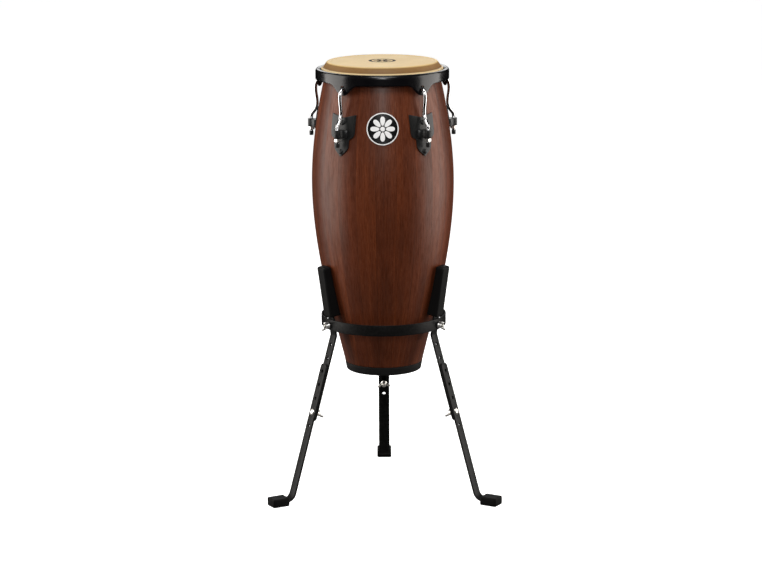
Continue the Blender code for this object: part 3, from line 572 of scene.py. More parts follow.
INSIDE = INSIDE.out(Base_Color=INSIDE.mix(_n, (0.16, 0.085, 0.045), (0.30, 0.18, 0.10)), Roughness=0.7,
                    Normal=INSIDE.bump(_n, 0.3, 0.0006))

# -------------------------------------------------------------- the shell
REBATE = 0.0026
zs = list(np.linspace(0.0212, 0.700, 86))
outer = [(off_r(0.0034, -REBATE), 0.0034), (off_r(0.0110, -REBATE), 0.0110), (off_r(0.0192, -REBATE), 0.0192),
         (off_r(0.0194, -0.0005), 0.0194), (off_r(0.0199, 0.0), 0.0199)] + [(shell_r(z), z) for z in zs]
lip = [(0.1249, 0.7030), (0.1240, 0.7052), (0.1226, 0.7070), (0.1208, 0.7081), (0.1187, 0.7084), (0.1168, 0.7075),
       (0.1153, 0.7056), (0.1144, 0.7030)]
inner = [(off_r(z, -WALL), z) for z in np.linspace(0.0034, 0.698, 50)]
shell = turned("m_shell", outer + lip + inner[::-1], 264)
holes = []
for azimuth in AZ_LUG:
    for z in SCREW_Z:
        n = Vector((0, -1, -slope(z))).normalized()
        holes.append(cylinder("h", 0.0036, 0.05, turn(azimuth) @ along(n, radial(shell_r(z), 0, z)), 12))
boolean(shell, joined("hs", holes), smooth=40)
shell.data.materials.append(WOOD)
shell.data.materials.append(INSIDE)
for p in shell.data.polygons:
    c, nn = p.center, p.normal
    if (c.x * nn.x + c.y * nn.y) < 0 and c.z < 0.704:
        p.material_index = 1
put(shell, "shell_staves", 0, "drum", WOOD, "shell")

rub = turned("m_rub", rounded([(off_r(0.0188, 0.0004), 0.0189), (off_r(0.0100, 0.0009), 0.0100), (off_r(0.0034, 0.0006), 0.0000),
                               (0.0704, 0.0000), (0.0706, 0.0110), (off_r(0.012, -WALL - 0.0004), 0.0120),
                               (off_r(0.0034, -WALL - 0.0004), 0.0030), (off_r(0.0034, 0.0004 - REBATE), 0.0030),
                               (off_r(0.0188, 0.0004 - REBATE), 0.0189)], [0.0008, 0.012, 0.0026, 0.0016, 0.0008, 0.0006, 0, 0, 0.0004], 4), 240)
put(rub, "bottom_rim_rubber_soft", 0, "drum", RUBBER, "bottom_rim_rubber")

# --------------------------------------------------------------- the head
skin_prof = [(0.0, 0.7110), (0.010, 0.7110), (0.0300, 0.7110), (0.0600, 0.7110), (0.0900, 0.7110), (0.1100, 0.7110), (0.1180, 0.7110)]
skin_prof += rounded([(0.1180, 0.7110), (0.1240, 0.7107), (0.1282, 0.7058), (0.1330, 0.6978), (0.1362, 0.6970), (0.1379, 0.6950),
                      (0.1379, 0.6905), (0.1362, 0.6905), (0.1350, 0.6938), (0.1318, 0.6952), (0.1262, 0.7038), (0.1228, 0.7087),
                      (0.1180, 0.7090)], [0, 0.0026, 0.009, 0.0016, 0.0014, 0.0016, 0.0007, 0.0007, 0.0016, 0.003, 0.009, 0.0026, 0], 6, closed=False)[1:]
skin_prof += [(0.1100, 0.7090), (0.0900, 0.7090), (0.0600, 0.7090), (0.0300, 0.7090), (0.010, 0.7090), (0.0, 0.7090)]
skin = turned("m_skin", skin_prof, 240, closed=False, smooth=60)
skin_ob = bpy.data.objects.new("head_skin_natural", skin.data)
bpy.context.scene.collection.objects.link(skin_ob)
skin_ob.data.materials.append(SKIN)
skin_ob.matrix_world = BASE
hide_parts("head_skin")
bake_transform(skin_ob)

flesh = turned("m_flesh", rounded([(0.1474, 0.6756), (0.1474, 0.6860), (0.1392, 0.6860), (0.1392, 0.6756)], 0.0030, 5), 160)
put(flesh, "flesh_hoop_steel", 0, "rim", ZINC, "flesh_hoop")

# ------------------------------------------------------- the tension ring
EAR = [(0.0, 0.6481), (0.0022, 0.6482), (0.0068, 0.6489), (0.0110, 0.6512), (0.0160, 0.6560), (0.0215, 0.6617),
       (0.0262, 0.6662), (0.0310, 0.6695), (0.0385, HOOP_LOW), (0.2, HOOP_LOW)]


def catmull(points, n=6):
    p = [Vector(q) for q in points]
    p = [p[0] * 2 - p[1]] + p + [p[-1] * 2 - p[-2]]
    out = []
    for i in range(1, len(p) - 2):
        for k in range(n):
            t = k / n
            a, b, c, d = p[i - 1], p[i], p[i + 1], p[i + 2]
            out.append(0.5 * (2 * b + (c - a) * t + (2 * a - 5 * b + 4 * c - d) * t * t + (3 * b - a - 3 * c + d) * t ** 3))
    out.append(p[-2])
    return out


ear_curve = catmull(EAR[:-1], 6)
et, ez = [q[0] for q in ear_curve] + [0.2], [q[1] for q in ear_curve] + [HOOP_LOW]
angles = []
for i in range(240):
    a = i * 1.5
    near = min(abs((a + 0.75 - g + 180) % 360 - 180) for g in AZ_LUG)
    k = 6 if near < 13.5 else 1
    angles += [a + 1.5 * j / k for j in range(k)]
TOPROLL = rounded([(0.1384, 0.6872), (0.1384, 0.6905), (0.1400, 0.6938), (0.1448, 0.6961), (0.1492, 0.6942), (HOOP_R, 0.6900)], 0.004, 4, closed=False)
UNDER = rounded([(0.1484, 0.6895), (0.1470, 0.6924), (0.1448, 0.6933), (0.1425, 0.6922), (0.1410, 0.6900), (0.1408, 0.6872)], 0.002, 2, closed=False)
verts, loops = [], []
for a in angles:
    near = min(((abs((a - g + 180) % 360 - 180)), g) for g in AZ_LUG)[0]
    t = HOOP_R * math.sin(math.radians(min(near, 60)))
    low = float(np.interp(t, et, ez))
    prof = list(TOPROLL) + [(HOOP_R, low + (0.6900 - low) * f) for f in (0.8, 0.6, 0.4, 0.2)]
    prof += [(HOOP_R, low + 0.0010), (HOOP_R - 0.0003, low + 0.0004), (HOOP_R - 0.0009, low), (0.1492, low), (0.1487, low + 0.0004), (0.1484, low + 0.0010)]
    prof += [(0.1484, low + (0.6895 - low) * f) for f in (0.2, 0.4, 0.6, 0.8)] + list(UNDER)
    s, c = math.sin(math.radians(a)), math.cos(math.radians(a))
    loops.append(list(range(len(verts), len(verts) + len(prof))))
    verts += [(r * s, -r * c, z) for r, z in prof]
faces = []
for a, b in zip(loops, loops[1:] + loops[:1]):
    for i in range(len(a)):
        j = (i + 1) % len(a)
        faces.append([a[i], b[i], b[j], a[j]])
hoop = make("m_hoop", verts, faces, 40)
FRONT = Matrix(((1, 0, 0, 0), (0, 0, -1, -0.150), (0, 1, 0, 0), (0, 0, 0, 1)))
cut = []
for azimuth in AZ_LUG:
    s = outline("s", [rounded([(0.0047, 0.6586), (0.0047, 0.6700), (-0.0047, 0.6700), (-0.0047, 0.6586)], 0.0030, 4)], 0.008, FRONT)
    s.data.transform(turn(azimuth))
    cut.append(s)
boolean(hoop, joined("ss", cut), smooth=40)
put(hoop, "tension_ring_black", 0, "rim", RIMCOAT, "tension_ring")

# ------------------------------------------------ hooks, nuts and receivers
HOOK = [(0.1440, 0.6652), (0.1500, 0.6640), (0.1546, 0.6610), (0.1580, 0.6556), (0.1598, 0.6484), (0.1601, 0.6400),
        (0.1590, 0.6300), (0.1575, 0.6205), (0.1568, 0.6110), (0.1578, 0.6030), (0.1610, 0.5948), (0.1660, 0.5882),
        (0.1696, 0.5836), (0.1709, 0.5795), (0.1710, 0.5765)]
line = [(q[0], q[1]) for q in catmull(HOOK, 5)]
THREAD_TOP = 0.5790
smooth_part = [p for p in line if p[1] > THREAD_TOP]
pitch = 0.00125
count = int((THREAD_TOP - 0.5446) / (pitch / 7))
low_part = [(ROD_AXIS, THREAD_TOP - i * pitch / 7) for i in range(count + 1)]
low_part = [(ROD_AXIS - 0.00012 * max(0.0, (z - 0.5765) / 0.0025), z) for _, z in low_part]
pts, secs, SIDES = [], [], 18
for i, (r, z) in enumerate(smooth_part):
    k = min(1.0, 0.55 + 0.25 * i) if i < 2 else 1.0
    pts.append(radial(r, 0, z))
    secs.append([(ROD_R * k * math.cos(math.tau * j / SIDES), ROD_R * k * math.sin(math.tau * j / SIDES)) for j in range(SIDES)])
for r, z in low_part:
    ring_pts = []
    for j in range(SIDES):
        ph = (z / pitch + j / SIDES) % 1.0
        d = 0.00038 * (abs(ph * 2 - 1)) * min(1.0, (THREAD_TOP - z) / 0.002)
        ring_pts.append(((ROD_R - d) * math.cos(math.tau * j / SIDES), (ROD_R - d) * math.sin(math.tau * j / SIDES)))
    pts.append(radial(r, 0, z))
    secs.append(ring_pts)
hook = sweep("m_hook", pts, secs, (1, 0, 0), 60)
cap = turned("m_cap", rounded([(0.0, 0.5445), (0.0047, 0.5445), (0.0048, 0.5400), (0.0046, 0.5350), (0.0030, 0.5345), (0.0, 0.5345)],
                              [0, 0.0006, 0.002, 0.0016, 0.002, 0], 4, closed=False), 28, closed=False)
cap.data.transform(Matrix.Translation(radial(ROD_AXIS, 0, 0)))

hexa = [(0.0075 * math.cos(math.tau * i / 6), 0.0075 * math.sin(math.tau * i / 6)) for i in range(6)]
nut = outline("m_nut", [hexa], 0.00325, Matrix.Translation((0, 0, 0.55125)))
lens = turned("lens", [(0.0, 0.5480), (0.0064, 0.5480), (0.0072, 0.5484), (0.0076, 0.5490), (0.0076, 0.5535), (0.0072, 0.5541), (0.0064, 0.5545), (0.0, 0.5545)], 48, closed=False)
boolean(nut, lens, "INTERSECT")
boolean(nut, cylinder("b", 0.0044, 0.03, Matrix.Translation((0, 0, 0.551)), 28))
nut.data.transform(Matrix.Translation(radial(ROD_AXIS, 0, 0)))

RZ = (0.5550, 0.5725)
nose = []
for k in range(73):
    a = math.radians(-100 + 200 * k / 72)
    rr = 0.0078 - 0.00055 * max(0.0, math.cos(a * 9)) ** 3
    nose.append((rr * math.sin(a), -(ROD_AXIS + rr * math.cos(a))))
base = [(0.0120, -0.1600), (0.0170, -0.1572), (0.0172, -0.1440), (-0.0172, -0.1440), (-0.0170, -0.1572), (-0.0120, -0.1600)]
receiver = outline("m_recv", [nose + base], (RZ[1] - RZ[0]) / 2, Matrix.Translation((0, 0, sum(RZ) / 2)), bevel=0.0007, seg=2)
stack = GAP + 0.0025 + GAP
core = turned("core", [(off_r(z, stack), z) for z in np.linspace(0.592, 0.540, 14)] + [(0.120, 0.540), (0.120, 0.592)], 240)
boolean(receiver, core)
boolean(receiver, cylinder("b", 0.0045, 0.05, Matrix.Translation(radial(ROD_AXIS, 0, 0.564)), 28))
# the collar on the barrel
collar = turned("m_collar", rounded([(0.0046, 0.5731), (0.0072, 0.5731), (0.0072, 0.5716), (0.0046, 0.5716)], 0.0004, 2), 40)
collar.data.transform(Matrix.Translation(radial(ROD_AXIS, 0, 0)))
boolean(receiver, collar, "UNION")


def conform(ob, d0, step_x=0.004, step_z=0.008):
    """Wrap a flat piece (x across, y = height, z = depth) onto the shell."""
    bm = bmesh.new()
    bm.from_mesh(ob.data)
    xs, ys = [v.co.x for v in bm.verts], [v.co.y for v in bm.verts]
    for lo_, hi_, step, axis in ((min(xs), max(xs), step_x, 0), (min(ys), max(ys), step_z, 1)):
        k = math.ceil((lo_ + 0.0007) / step)
        while k * step < hi_ - 0.0007:
            co, no = [0, 0, 0], [0, 0, 0]
            co[axis], no[axis] = k * step + 0.00013, 1
            bmesh.ops.bisect_plane(bm, geom=list(bm.verts) + list(bm.edges) + list(bm.faces), dist=1e-7, plane_co=co, plane_no=no)
            k += 1
    for v in bm.verts:
        x, z, d = v.co
        r = off_r(z, d0 + d)
        v.co = (x, -math.sqrt(max(r * r - x * x, 1e-9)), z)
    bmesh.ops.recalc_face_normals(bm, faces=bm.faces)
    bm.to_mesh(ob.data)
    bm.free()
    return tidy(ob, 32)


SHIELD = [(0.0, 0.5131), (0.0150, 0.5268), (0.0185, 0.5322), (0.0195, 0.5380), (0.0195, 0.5498), (0.0220, 0.5533),
          (0.0275, 0.5556), (0.0308, 0.5600), (0.0318, 0.5660), (0.0322, 0.6068), (0.0, 0.5990)]
shield = SHIELD[:-1] + [SHIELD[-1]] + [(-x, z) for x, z in SHIELD[1:-1][::-1]]
rad = [0.0020, 0.004, 0.003, 0.004, 0.004, 0.003, 0.004, 0.005, 0.006, 0.0012, 0.008]
rad = rad + rad[1:-1][::-1]
shield_r = rounded(shield, rad, 4)
rings_ = [[(0.0036 * math.cos(math.tau * i / 20), z + 0.0036 * math.sin(math.tau * i / 20)) for i in range(20)] for z in SCREW_Z]
plate = outline("m_plate", [shield_r] + rings_, 0.00125, bevel=0.0007, seg=2)
conform(plate, GAP + 0.00125)

rect = rounded([(0.0155, 0.513), (0.0155, 0.598), (-0.0155, 0.598), (-0.0155, 0.513)], 0.003, 3)
back = outline("m_back", [rect], 0.00125, bevel=0.0004, seg=1)
conform(back, -WALL - GAP - 0.0002 - 0.00125)
for z in SCREW_Z:
    n = Vector((0, -1, -slope(z))).normalized()
    foot_p = radial(shell_r(z), 0, z)
    top = 2 * GAP + 0.0025
    boolean(back, cylinder("sh", 0.0030, WALL + top + 0.003, along(n, foot_p + n * ((top - WALL) / 2 + 0.0005)), 20), "UNION")
    dome = turned("dm", [(0.0, 0.0026), (0.0020, 0.0025), (0.0040, 0.0019), (0.0052, 0.0010), (0.0056, 0.0002), (0.0054, 0.0), (0.0, 0.0)], 32, closed=False)
    socket = outline("sk", [[(0.0018 * math.cos(math.tau * i / 6), 0.0018 * math.sin(math.tau * i / 6)) for i in range(6)]], 0.0012, Matrix.Translation((0, 0, 0.0026)))
    boolean(dome, socket)
    dome.data.transform(along(n, foot_p + n * top))
    boolean(back, dome, "UNION")
back.data.materials.append(ZINC)
back.data.materials.append(TIPBLACK)
for p in back.data.polygons:
    if -p.center.y > off_r(p.center.z, 0.0005) - 0.0006:
        p.material_index = 1

for i, azimuth in enumerate(AZ_LUG, 1):
    put(hook, "tuning_rod_%d" % i, azimuth, "rim", CHROME, "tuning_hook_%d" % i)
    put(cap, "rod_cap_%d" % i, azimuth, "rim", TIPBLACK, ())
    put(nut, "hex_nut_%d" % i, azimuth, "tuning_nut_%d" % i, NUTCHROME, "tuning_nut_%d" % i)
    put(receiver, "receiver_%d" % i, azimuth, "drum", PLATE, "lug_receiver_%d" % i)
    put(plate, "shield_plate_%d" % i, azimuth, "drum", PLATE, "side_plate_%d" % i)
    put(back, "plate_bolts_%d" % i, azimuth, "drum", ZINC, "backing_plate_%d" % i)

# -------------------------------------------------------------- the badge
disc = [(BADGE_R * math.cos(math.tau * i / 72), BADGE_Z + BADGE_R * math.sin(math.tau * i / 72)) for i in range(72)]
badge = outline("m_badge", [disc], 0.0006, bevel=0.0004, seg=2)
conform(badge, GAP + 0.0006)
put(badge, "badge_field", 0, "drum", BADGEBLACK, "badge")


def circle(r, n, cx=0.0, cy=0.0):
    return [(cx + r * math.cos(math.tau * i / n), cy + r * math.sin(math.tau * i / n)) for i in range(n)]


emblem = []
emblem.append(outline("e", [circle(BADGE_R, 96, 0, BADGE_Z), circle(BADGE_R - 0.0023, 96, 0, BADGE_Z)], 0.00035, bevel=0.0002, seg=1))
emblem.append(outline("e", [circle(0.0052, 40, 0, BADGE_Z)], 0.00030, bevel=0.0002, seg=1))
for k in range(8):
    a = math.tau * k / 8
    petal = []
    for q in range(25):
        t = math.pi * q / 24
        petal.append((0.0072 + 0.0200 * (1 - math.cos(t)) / 2, 0.0056 * math.sin(t) ** 0.9 * (0.75 + 0.35 * (1 - math.cos(t)) / 2)))
    petal += [(x, -y) for x, y in petal[1:-1][::-1]]
    ca, sa = math.cos(a), math.sin(a)
    emblem.append(outline("e", [[(x * ca - y * sa, BADGE_Z + x * sa + y * ca) for x, y in petal]], 0.00030, bevel=0.00018, seg=1))
for e in emblem:
    conform(e, GAP + 0.0012 + 0.00032)
put(joined("m_emblem", emblem), "badge_ornament", 0, "drum", SILVER, ())

# ----------------------------------------------------------- basket stand
RING_R, RING_T, RING_Z = 0.1431, 0.0025, (0.105, 0.130)
ring = turned("m_ring", rounded([(RING_R, RING_Z[0]), (RING_R, RING_Z[1]), (RING_R - RING_T, RING_Z[1]), (RING_R - RING_T, RING_Z[0])], 0.0009, 4), 240)
arm_n = Vector((0, -math.cos(ARM), -math.sin(ARM)))
arm_u = Vector((0, -math.sin(ARM), math.cos(ARM)))
arm_c = radial(ARM_RZ[0], 0, ARM_RZ[1])
leg_n = Vector((0, -math.cos(LEAN), math.sin(LEAN)))
leg_u = Vector((0, math.sin(LEAN), math.cos(LEAN)))
bolt_c = radial(BOLT_RZ[0], 0, BOLT_RZ[1])
boolean(ring, joined("rh", [cylinder("c", 0.0042, 0.03, turn(a) @ along(arm_n, arm_c + arm_n * 0.007), 24) for a in AZ_LEG]), smooth=40)
put(ring, "basket_band", 0, "basket", POWDER, "basket_ring")


def leg_rz(s, n=0.0):
    return (BOLT_RZ[0] - math.sin(LEAN) * s + math.cos(LEAN) * n, BOLT_RZ[1] + math.cos(LEAN) * s + math.sin(LEAN) * n)


def arm_rz(w):
    return (ARM_RZ[0] + math.sin(ARM) * w, ARM_RZ[1] + math.cos(ARM) * w)


def arc_path(points, radii, n=8):
    out = [Vector(points[0])]
    for i in range(1, len(points) - 1):
        p, a, b = Vector(points[i]), Vector(points[i - 1]), Vector(points[i + 1])
        u, v = (a - p).normalized(), (b - p).normalized()
        half = u.angle(v) / 2
        reach = radii[i - 1] / math.tan(half)
        centre = p + (u + v).normalized() * (radii[i - 1] / math.sin(half))
        s, e = p + u * reach - centre, p + v * reach - centre
        total = s.angle_signed(e)
        for k in range(n + 1):
            out.append(centre + Matrix.Rotation(-total * k / n, 2) @ s)
    out.append(Vector(points[-1]))
    return out


def bar(name, path, width, thick, edge=0.0011, ends=(0.0, 0.0)):
    """A flat bar with soft edges along an (r, z) path, ends rounded in plan."""
    path = [Vector(p) for p in path]
    spec = [(p, 1.0, 1.0) for p in path]

    def section(hw, ht):
        e = min(edge, ht * 0.95, hw * 0.95)
        return rounded([(hw, ht), (-hw, ht), (-hw, -ht), (hw, -ht)], e, 3)

    pts, secs = [], []
    for side in (0, 1):
        pass
    head, tail = ends
    n = len(path)
    u0, u1 = (path[1] - path[0]).normalized(), (path[-2] - path[-1]).normalized()

    def end_rows(p, u, rad):
        rows = []
        rows.append((p, width / 2 - rad - (0.0006 if not rad else 0.0004), thick / 2 - 0.0007))
        rows.append((p + u * 0.0003, width / 2 - rad + (-0.0001 if not rad else 0.0018), thick / 2 - 0.0002))
        if rad:
            for k in range(2, 9):
                f = math.radians(k * 90 / 8)
                rows.append((p + u * (rad * (1 - math.cos(f))), width / 2 - rad * (1 - math.sin(f)), thick / 2))
        else:
            rows.append((p + u * 0.0008, width / 2, thick / 2))
        return rows

    rows = end_rows(path[0], u0, head) + [(p, width / 2, thick / 2) for p in path[1:-1]] + end_rows(path[-1], u1, tail)[::-1]
    for p, hw, ht in rows:
        pts.append(radial(p[0], 0, p[1]))
        secs.append(section(hw, ht))
    return sweep(name, pts, secs, (1, 0, 0), 32)


r0, z0 = leg_rz(0, -STACK)
kink = (r0 - ARM_RZ[0] + math.tan(LEAN) * z0 + math.tan(ARM) * ARM_RZ[1]) / (math.tan(LEAN) + math.tan(ARM))
corner = (r0 - math.tan(LEAN) * (kink - z0), kink)
upper = bar("m_upper", arc_path([leg_rz(UPPER_LOW, -STACK), corner, arm_rz(ARM_END)], [0.012]), BAR_W, BAR_T, ends=(0.008, 0.0))
cut = [cylinder("c", 0.0042, 0.03, along(arm_n, arm_c), 24)]
for s in (0.1277, 0.1598):
    r, z = leg_rz(s, -STACK)
    cut.append(cylinder("c", 0.0042, 0.012, along(leg_n, radial(r, 0, z)), 24))
k = 0.0043
caps = [(k * math.sin(a), k * math.cos(a)) for a in np.linspace(-math.pi / 2, math.pi / 2, 13)]
r, z = leg_rz(0, -STACK)
SLOTF = Matrix.Translation(radial(r, 0, z)) @ Matrix(((1, 0, 0, 0), (0, leg_u.y, leg_n.y, 0), (0, leg_u.z, leg_n.z, 0), (0, 0, 0, 1)))
cut.append(outline("c", [[(x, TRAVEL + y) for x, y in caps] + [(-x, -y) for x, y in caps]], 0.008, SLOTF))
boolean(upper, joined("uc", cut), smooth=32)

sole = -Z0 + 0.0095
turn_r = BOLT_RZ[0] + math.tan(LEAN) * (BOLT_RZ[1] - sole)
lower = bar("m_lower", arc_path([leg_rz(LOWER_TOP), (turn_r, sole), (FOOT_R[1] - 0.0090, sole)], [0.022], 12), BAR_W, BAR_T, ends=(0.008, 0.0))
cut = []
for j in (-1, 0, 1, 2, 3):
    r, z = leg_rz(j * PITCH)
    cut.append(cylinder("c", 0.0042, 0.02, along(leg_n, radial(r, 0, z)), 24))
boolean(lower, joined("lc", cut), smooth=32)

# rubber foot: a soft-edged block with a rounded nose and a ribbed sole
FR = 0.0034
rows = [(FOOT_R[0] + 0.0016 * (1 - math.cos(f)), 0.0016 * (1 - math.sin(f))) for f in np.radians([0, 22.5, 45, 67.5, 90])]
rows += [(q, 0.0) for q in np.linspace(FOOT_R[0] + 0.005, FOOT_R[1] - FR - 0.004, 7)]
rows += [(FOOT_R[1] - FR + FR * math.sin(f), FR * (1 - math.cos(f))) for f in np.radians([0, 18, 36, 54, 72, 90])]
pts, secs = [], []
for q, inset in rows:
    pts.append(radial(q, 0, -Z0 + FOOT_H / 2))
    hw, hh = FOOT_W / 2 - inset, FOOT_H / 2 - inset
    e = max(0.0004, 0.0030 - inset * 0.75)
    secs.append(rounded([(hw, hh), (-hw, hh), (-hw, -hh), (hw, -hh)], e, 4))
foot = sweep("m_foot", pts, secs, (1, 0, 0), 40)
grooves = []
for k in range(4):
    r = FOOT_R[0] + 0.0088 + k * 0.0074
    g = outline("g", [rounded([(0.0118, -r - 0.0011), (0.0118, -r + 0.0011), (-0.0118, -r + 0.0011), (-0.0118, -r - 0.0011)], 0.0008, 2)], 0.0012,
                Matrix.Translation((0, 0, -Z0)))
    grooves.append(g)
boolean(foot, joined("gr", grooves))
pocket = bar("pk", arc_path([leg_rz(0.0), (turn_r, sole), (FOOT_R[1] - 0.0084, sole)], [0.022], 12), BAR_W + 2 * GAP, BAR_T + 2 * GAP)
boolean(foot, pocket)

# rubber sleeve of an arm: a wedge whose inner face follows the shell
W0, W1, PAD_W, PAD_CLEAR = 0.0205, 0.1370, 0.032, 0.0014
PAD_OUT = BAR_T / 2 + 0.0085


def pad_in(w):
    r, z = arm_rz(w)
    d = 0.0
    while r - math.cos(ARM) * d > shell_r(z + math.sin(ARM) * d):
        d += 0.00002
    return d - PAD_CLEAR


rows, R = [], 0.0042
for f in np.radians([0, 22.5, 45, 67.5, 90]):
    rows.append((W0 + 0.0022 * (1 - math.cos(f)), 0.0022 * (1 - math.sin(f))))
for q in np.linspace(W0 + 0.008, W1 - R - 0.005, 14):
    rows.append((q, 0.0))
for f in np.radians([0, 15, 30, 45, 60, 75, 90]):
    rows.append((W1 - R + R * math.sin(f), R * (1 - math.cos(f))))
pts, secs = [], []
for w, inset in rows:
    r, z = arm_rz(w)
    d_in = pad_in(w)
    pts.append(radial(r, 0, z))
    hw = PAD_W / 2 - inset
    lo_y, hi_y = inset - PAD_OUT, d_in - inset
    e = max(0.0006, 0.0042 - inset * 0.8)
    secs.append(rounded([(hw, hi_y), (-hw, hi_y), (-hw, lo_y), (hw, lo_y)], e, 5))
pad = sweep("m_pad", pts, secs, (1, 0, 0), 40)
depth = ARM_END + 0.0004 - W0 + 0.02
path = [arm_rz(W0 - 0.02), arm_rz(W0 + 0.02), arm_rz(ARM_END + 0.0004)]
boolean(pad, bar("pp", path, BAR_W + 2 * GAP, BAR_T + 2 * GAP))


def thread_rod(name, radius, length, start, plain, pitch=0.00125, sides=16):
    """A bolt's shank along +Z: plain for a stretch, then threaded to its end."""
    pts, secs = [Vector((0, 0, start)), Vector((0, 0, start + plain))], []
    z = start + plain
    while z < start + length - 0.0006:
        z += pitch / 6
        pts.append(Vector((0, 0, z)))
    pts.append(Vector((0, 0, start + length)))
    for p in pts:
        ring_pts = []
        for j in range(sides):
            ph = (p.z / pitch + j / sides) % 1.0
            d = 0.00042 * abs(ph * 2 - 1) * (1.0 if p.z > start + plain + 1e-6 else 0.0)
            k = radius - d - (0.0007 if p.z > start + length - 1e-6 else 0.0)
            ring_pts.append((k * math.cos(math.tau * j / sides), k * math.sin(math.tau * j / sides)))
        secs.append(ring_pts)
    return sweep(name, pts, secs, (1, 0, 0), 50)


def carriage_bolt(name, centre, direction, head_at, shank_to):
    """Head at head_at along the direction, shank the other way to shank_to."""
    d = Vector(direction).normalized()
    sign = 1.0 if shank_to > head_at else -1.0
    length = abs(shank_to - head_at)
    rod = thread_rod(name, 0.0039, length + 0.0004, -0.0004, 0.0065)
    dome = turned("dome", [(0.0, -0.0034), (0.0018, -0.0033), (0.0036, -0.0030), (0.0054, -0.0024), (0.0068, -0.0016), (0.0077, -0.0007),
                           (0.0080, -0.0002), (0.0078, 0.0), (0.0, 0.0)], 40, closed=False)
    boolean(rod, dome, "UNION", smooth=40)
    rod.data.transform(along(d * sign, centre + d * head_at))
    return rod


def wing_nut(name, centre, direction, start, roll=0.0):
    d = Vector(direction).normalized()
    hub = turned(name, rounded([(0.0041, 0.0), (0.0078, 0.0), (0.0078, 0.0016), (0.0068, 0.0036), (0.0060, 0.0095), (0.0041, 0.0095)],
                               [0.0003, 0.0005, 0.0008, 0.002, 0.0010, 0.0004], 3), 40)
    wing = [(0.0050, 0.0010), (0.0094, 0.0014), (0.0130, 0.0054), (0.0150, 0.0112), (0.0147, 0.0148), (0.0124, 0.0160), (0.0100, 0.0150),
            (0.0078, 0.0112), (0.0058, 0.0082), (0.0046, 0.0074)]
    for side in (1, -1):
        w = outline("wing", [rounded([(side * x, z) for x, z in wing], 0.0030, 4)], 0.0015,
                    Matrix(((1, 0, 0, 0), (0, 0, -1, 0), (0, 1, 0, 0), (0, 0, 0, 1))), bevel=0.0006, seg=2)
        boolean(hub, w, "UNION")
    boolean(hub, cylinder("wb", 0.0041, 0.03, Matrix.Translation((0, 0, 0.005)), 40))
    hub.data.transform(Matrix.Rotation(roll, 4, "Z"))
    hub.data.transform(along(d, centre + d * start))
    return hub


leg_bolt = carriage_bolt("m_legbolt", bolt_c, leg_n, BAR_T / 2 + GAP, -STACK - BAR_T / 2 - 0.0125)
leg_wings = [wing_nut("m_legwing%d" % i, bolt_c, -leg_n, STACK + BAR_T / 2 + GAP, math.radians(a)) for i, a in enumerate(LEG_WING_TURN)]
ring_bolt = carriage_bolt("m_ringbolt", arm_c, arm_n, -BAR_T / 2 - GAP, 0.0222)
ring_wings = [wing_nut("m_ringwing%d" % i, arm_c, arm_n, 0.0098, math.radians(a)) for i, a in enumerate(RING_WING_TURN)]

for i, azimuth in enumerate(AZ_LEG, 1):
    put(ring_bolt, "band_bolt_%d" % i, azimuth, "basket", ZINC, "ring_bolt_%d" % i)
    put(ring_wings[i - 1], "band_wing_nut_%d" % i, azimuth, "ring_wing_nut_%d" % i, WINGCHROME, "ring_wing_nut_%d" % i)
    put(upper, "arm_bar_%d" % i, azimuth, "leg_%d" % i, POWDER, "upper_leg_%d" % i)
    put(pad, "arm_sleeve_%d" % i, azimuth, "leg_%d" % i, PADRUB, "arm_pad_%d" % i)
    put(lower, "leg_bar_%d" % i, azimuth, "shin_%d" % i, POWDER, "lower_leg_%d" % i)
    put(foot, "rubber_foot_%d" % i, azimuth, "shin_%d" % i, FOOTRUB, "foot_%d" % i)
    put(leg_bolt, "clamp_bolt_%d" % i, azimuth, "shin_%d" % i, NUTCHROME, "leg_bolt_%d" % i)
    put(leg_wings[i - 1], "clamp_wing_nut_%d" % i, azimuth, "leg_wing_nut_%d" % i, NUTCHROME, "leg_wing_nut_%d" % i)

for o in list(bpy.data.objects):
    if o.type == "MESH" and (o.name.startswith("m_")):
        bpy.data.objects.remove(o)

# -------------------------------------------------- floor, light and camera
fl = Mat("pale_floor")
_f = fl.noise(fl.coord(), 0.8, 3)
floor_mat = fl.out(Base_Color=fl.mix(_f, (0.80, 0.80, 0.80), (0.84, 0.84, 0.84)), Roughness=0.9, Specular_IOR_Level=0.0,
                   Emission_Color=(1.0, 1.0, 1.0), Emission_Strength=1.0)
floor = make("floor", [(-60, -60, 0), (60, -60, 0), (60, 60, 0), (-60, 60, 0)], [(0, 1, 2, 3)])
floor.data.materials.append(floor_mat)
floor.visible_diffuse = floor.visible_glossy = False


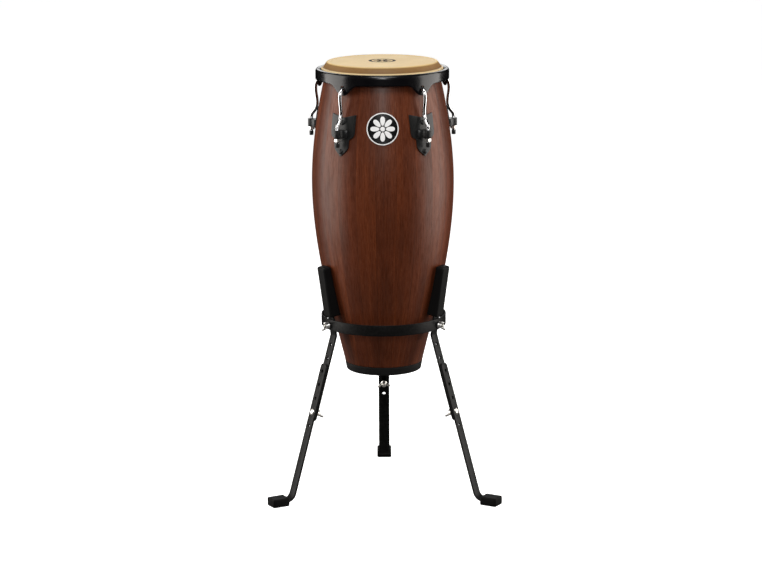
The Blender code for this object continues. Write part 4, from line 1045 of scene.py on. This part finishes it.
def area(name, azimuth, elevation, distance, width, height, radiance, aim=0.62, colour=(1.0, 1.0, 1.0)):
    """A soft box seen from the drum at an azimuth (0 is the front) and elevation."""
    a, e = math.radians(azimuth), math.radians(elevation)
    target = Vector((AX, AY, aim))
    where = target + distance * Vector((math.sin(a) * math.cos(e), -math.cos(a) * math.cos(e), math.sin(e)))
    d = bpy.data.lights.new(name, "AREA")
    d.shape, d.size, d.size_y = "RECTANGLE", width, height
    d.energy = radiance * math.pi * width * height
    d.color = colour
    o = bpy.data.objects.new(name, d)
    bpy.context.scene.collection.objects.link(o)
    o.location = where
    o.rotation_euler = (target - where).to_track_quat("-Z", "Y").to_euler()
    o.visible_camera = False
    return o


bpy.context.scene.view_settings.view_transform = "Standard"
WARM = (1.0, 0.965, 0.925)
area("soft_left", -91, 8, 2.5, 2.15, 2.6, 4.85, colour=WARM)
area("soft_right", 91, 8, 2.5, 2.15, 2.6, 4.85, colour=WARM)
area("key_top_front", 0, 52, 3.0, 1.5, 1.0, 10.5)
area("front_strip", 0, 22, 3.2, 0.52, 0.9, 18.0)
area("back_fill", 180, 30, 3.0, 2.0, 1.6, 2.6)
glow = area("floor_glow", 0, 0, 1.0, 2.4, 2.4, 0.13, colour=WARM)
glow.location = (AX, AY, 0.004)
glow.rotation_euler = (math.pi, 0.0, 0.0)
world = bpy.data.worlds.new("studio")
bpy.context.scene.world = world
world.use_nodes = True
bg = world.node_tree.nodes["Background"]
bg.inputs[0].default_value = (1, 1, 1, 1)
bg.inputs[1].default_value = 1.02
world.cycles_visibility.diffuse = world.cycles_visibility.glossy = False

cam = bpy.data.cameras.new("camera")
cam.sensor_width, cam.lens = 36.0, 2599.5 / 762 * 36.0
cam.clip_start, cam.clip_end = 0.1, 200.0
cam.dof.use_dof = False
camo = bpy.data.objects.new("camera", cam)
bpy.context.scene.collection.objects.link(camo)
camo.matrix_world = (Matrix.Translation((AX - 0.0056, AY - 5.838, Z0 + 1.4331)) @ Matrix.Rotation(math.radians(90 - 11.899), 4, "X")
                     @ Matrix.Rotation(math.radians(-0.337), 4, "Z"))
bpy.context.scene.camera = camo
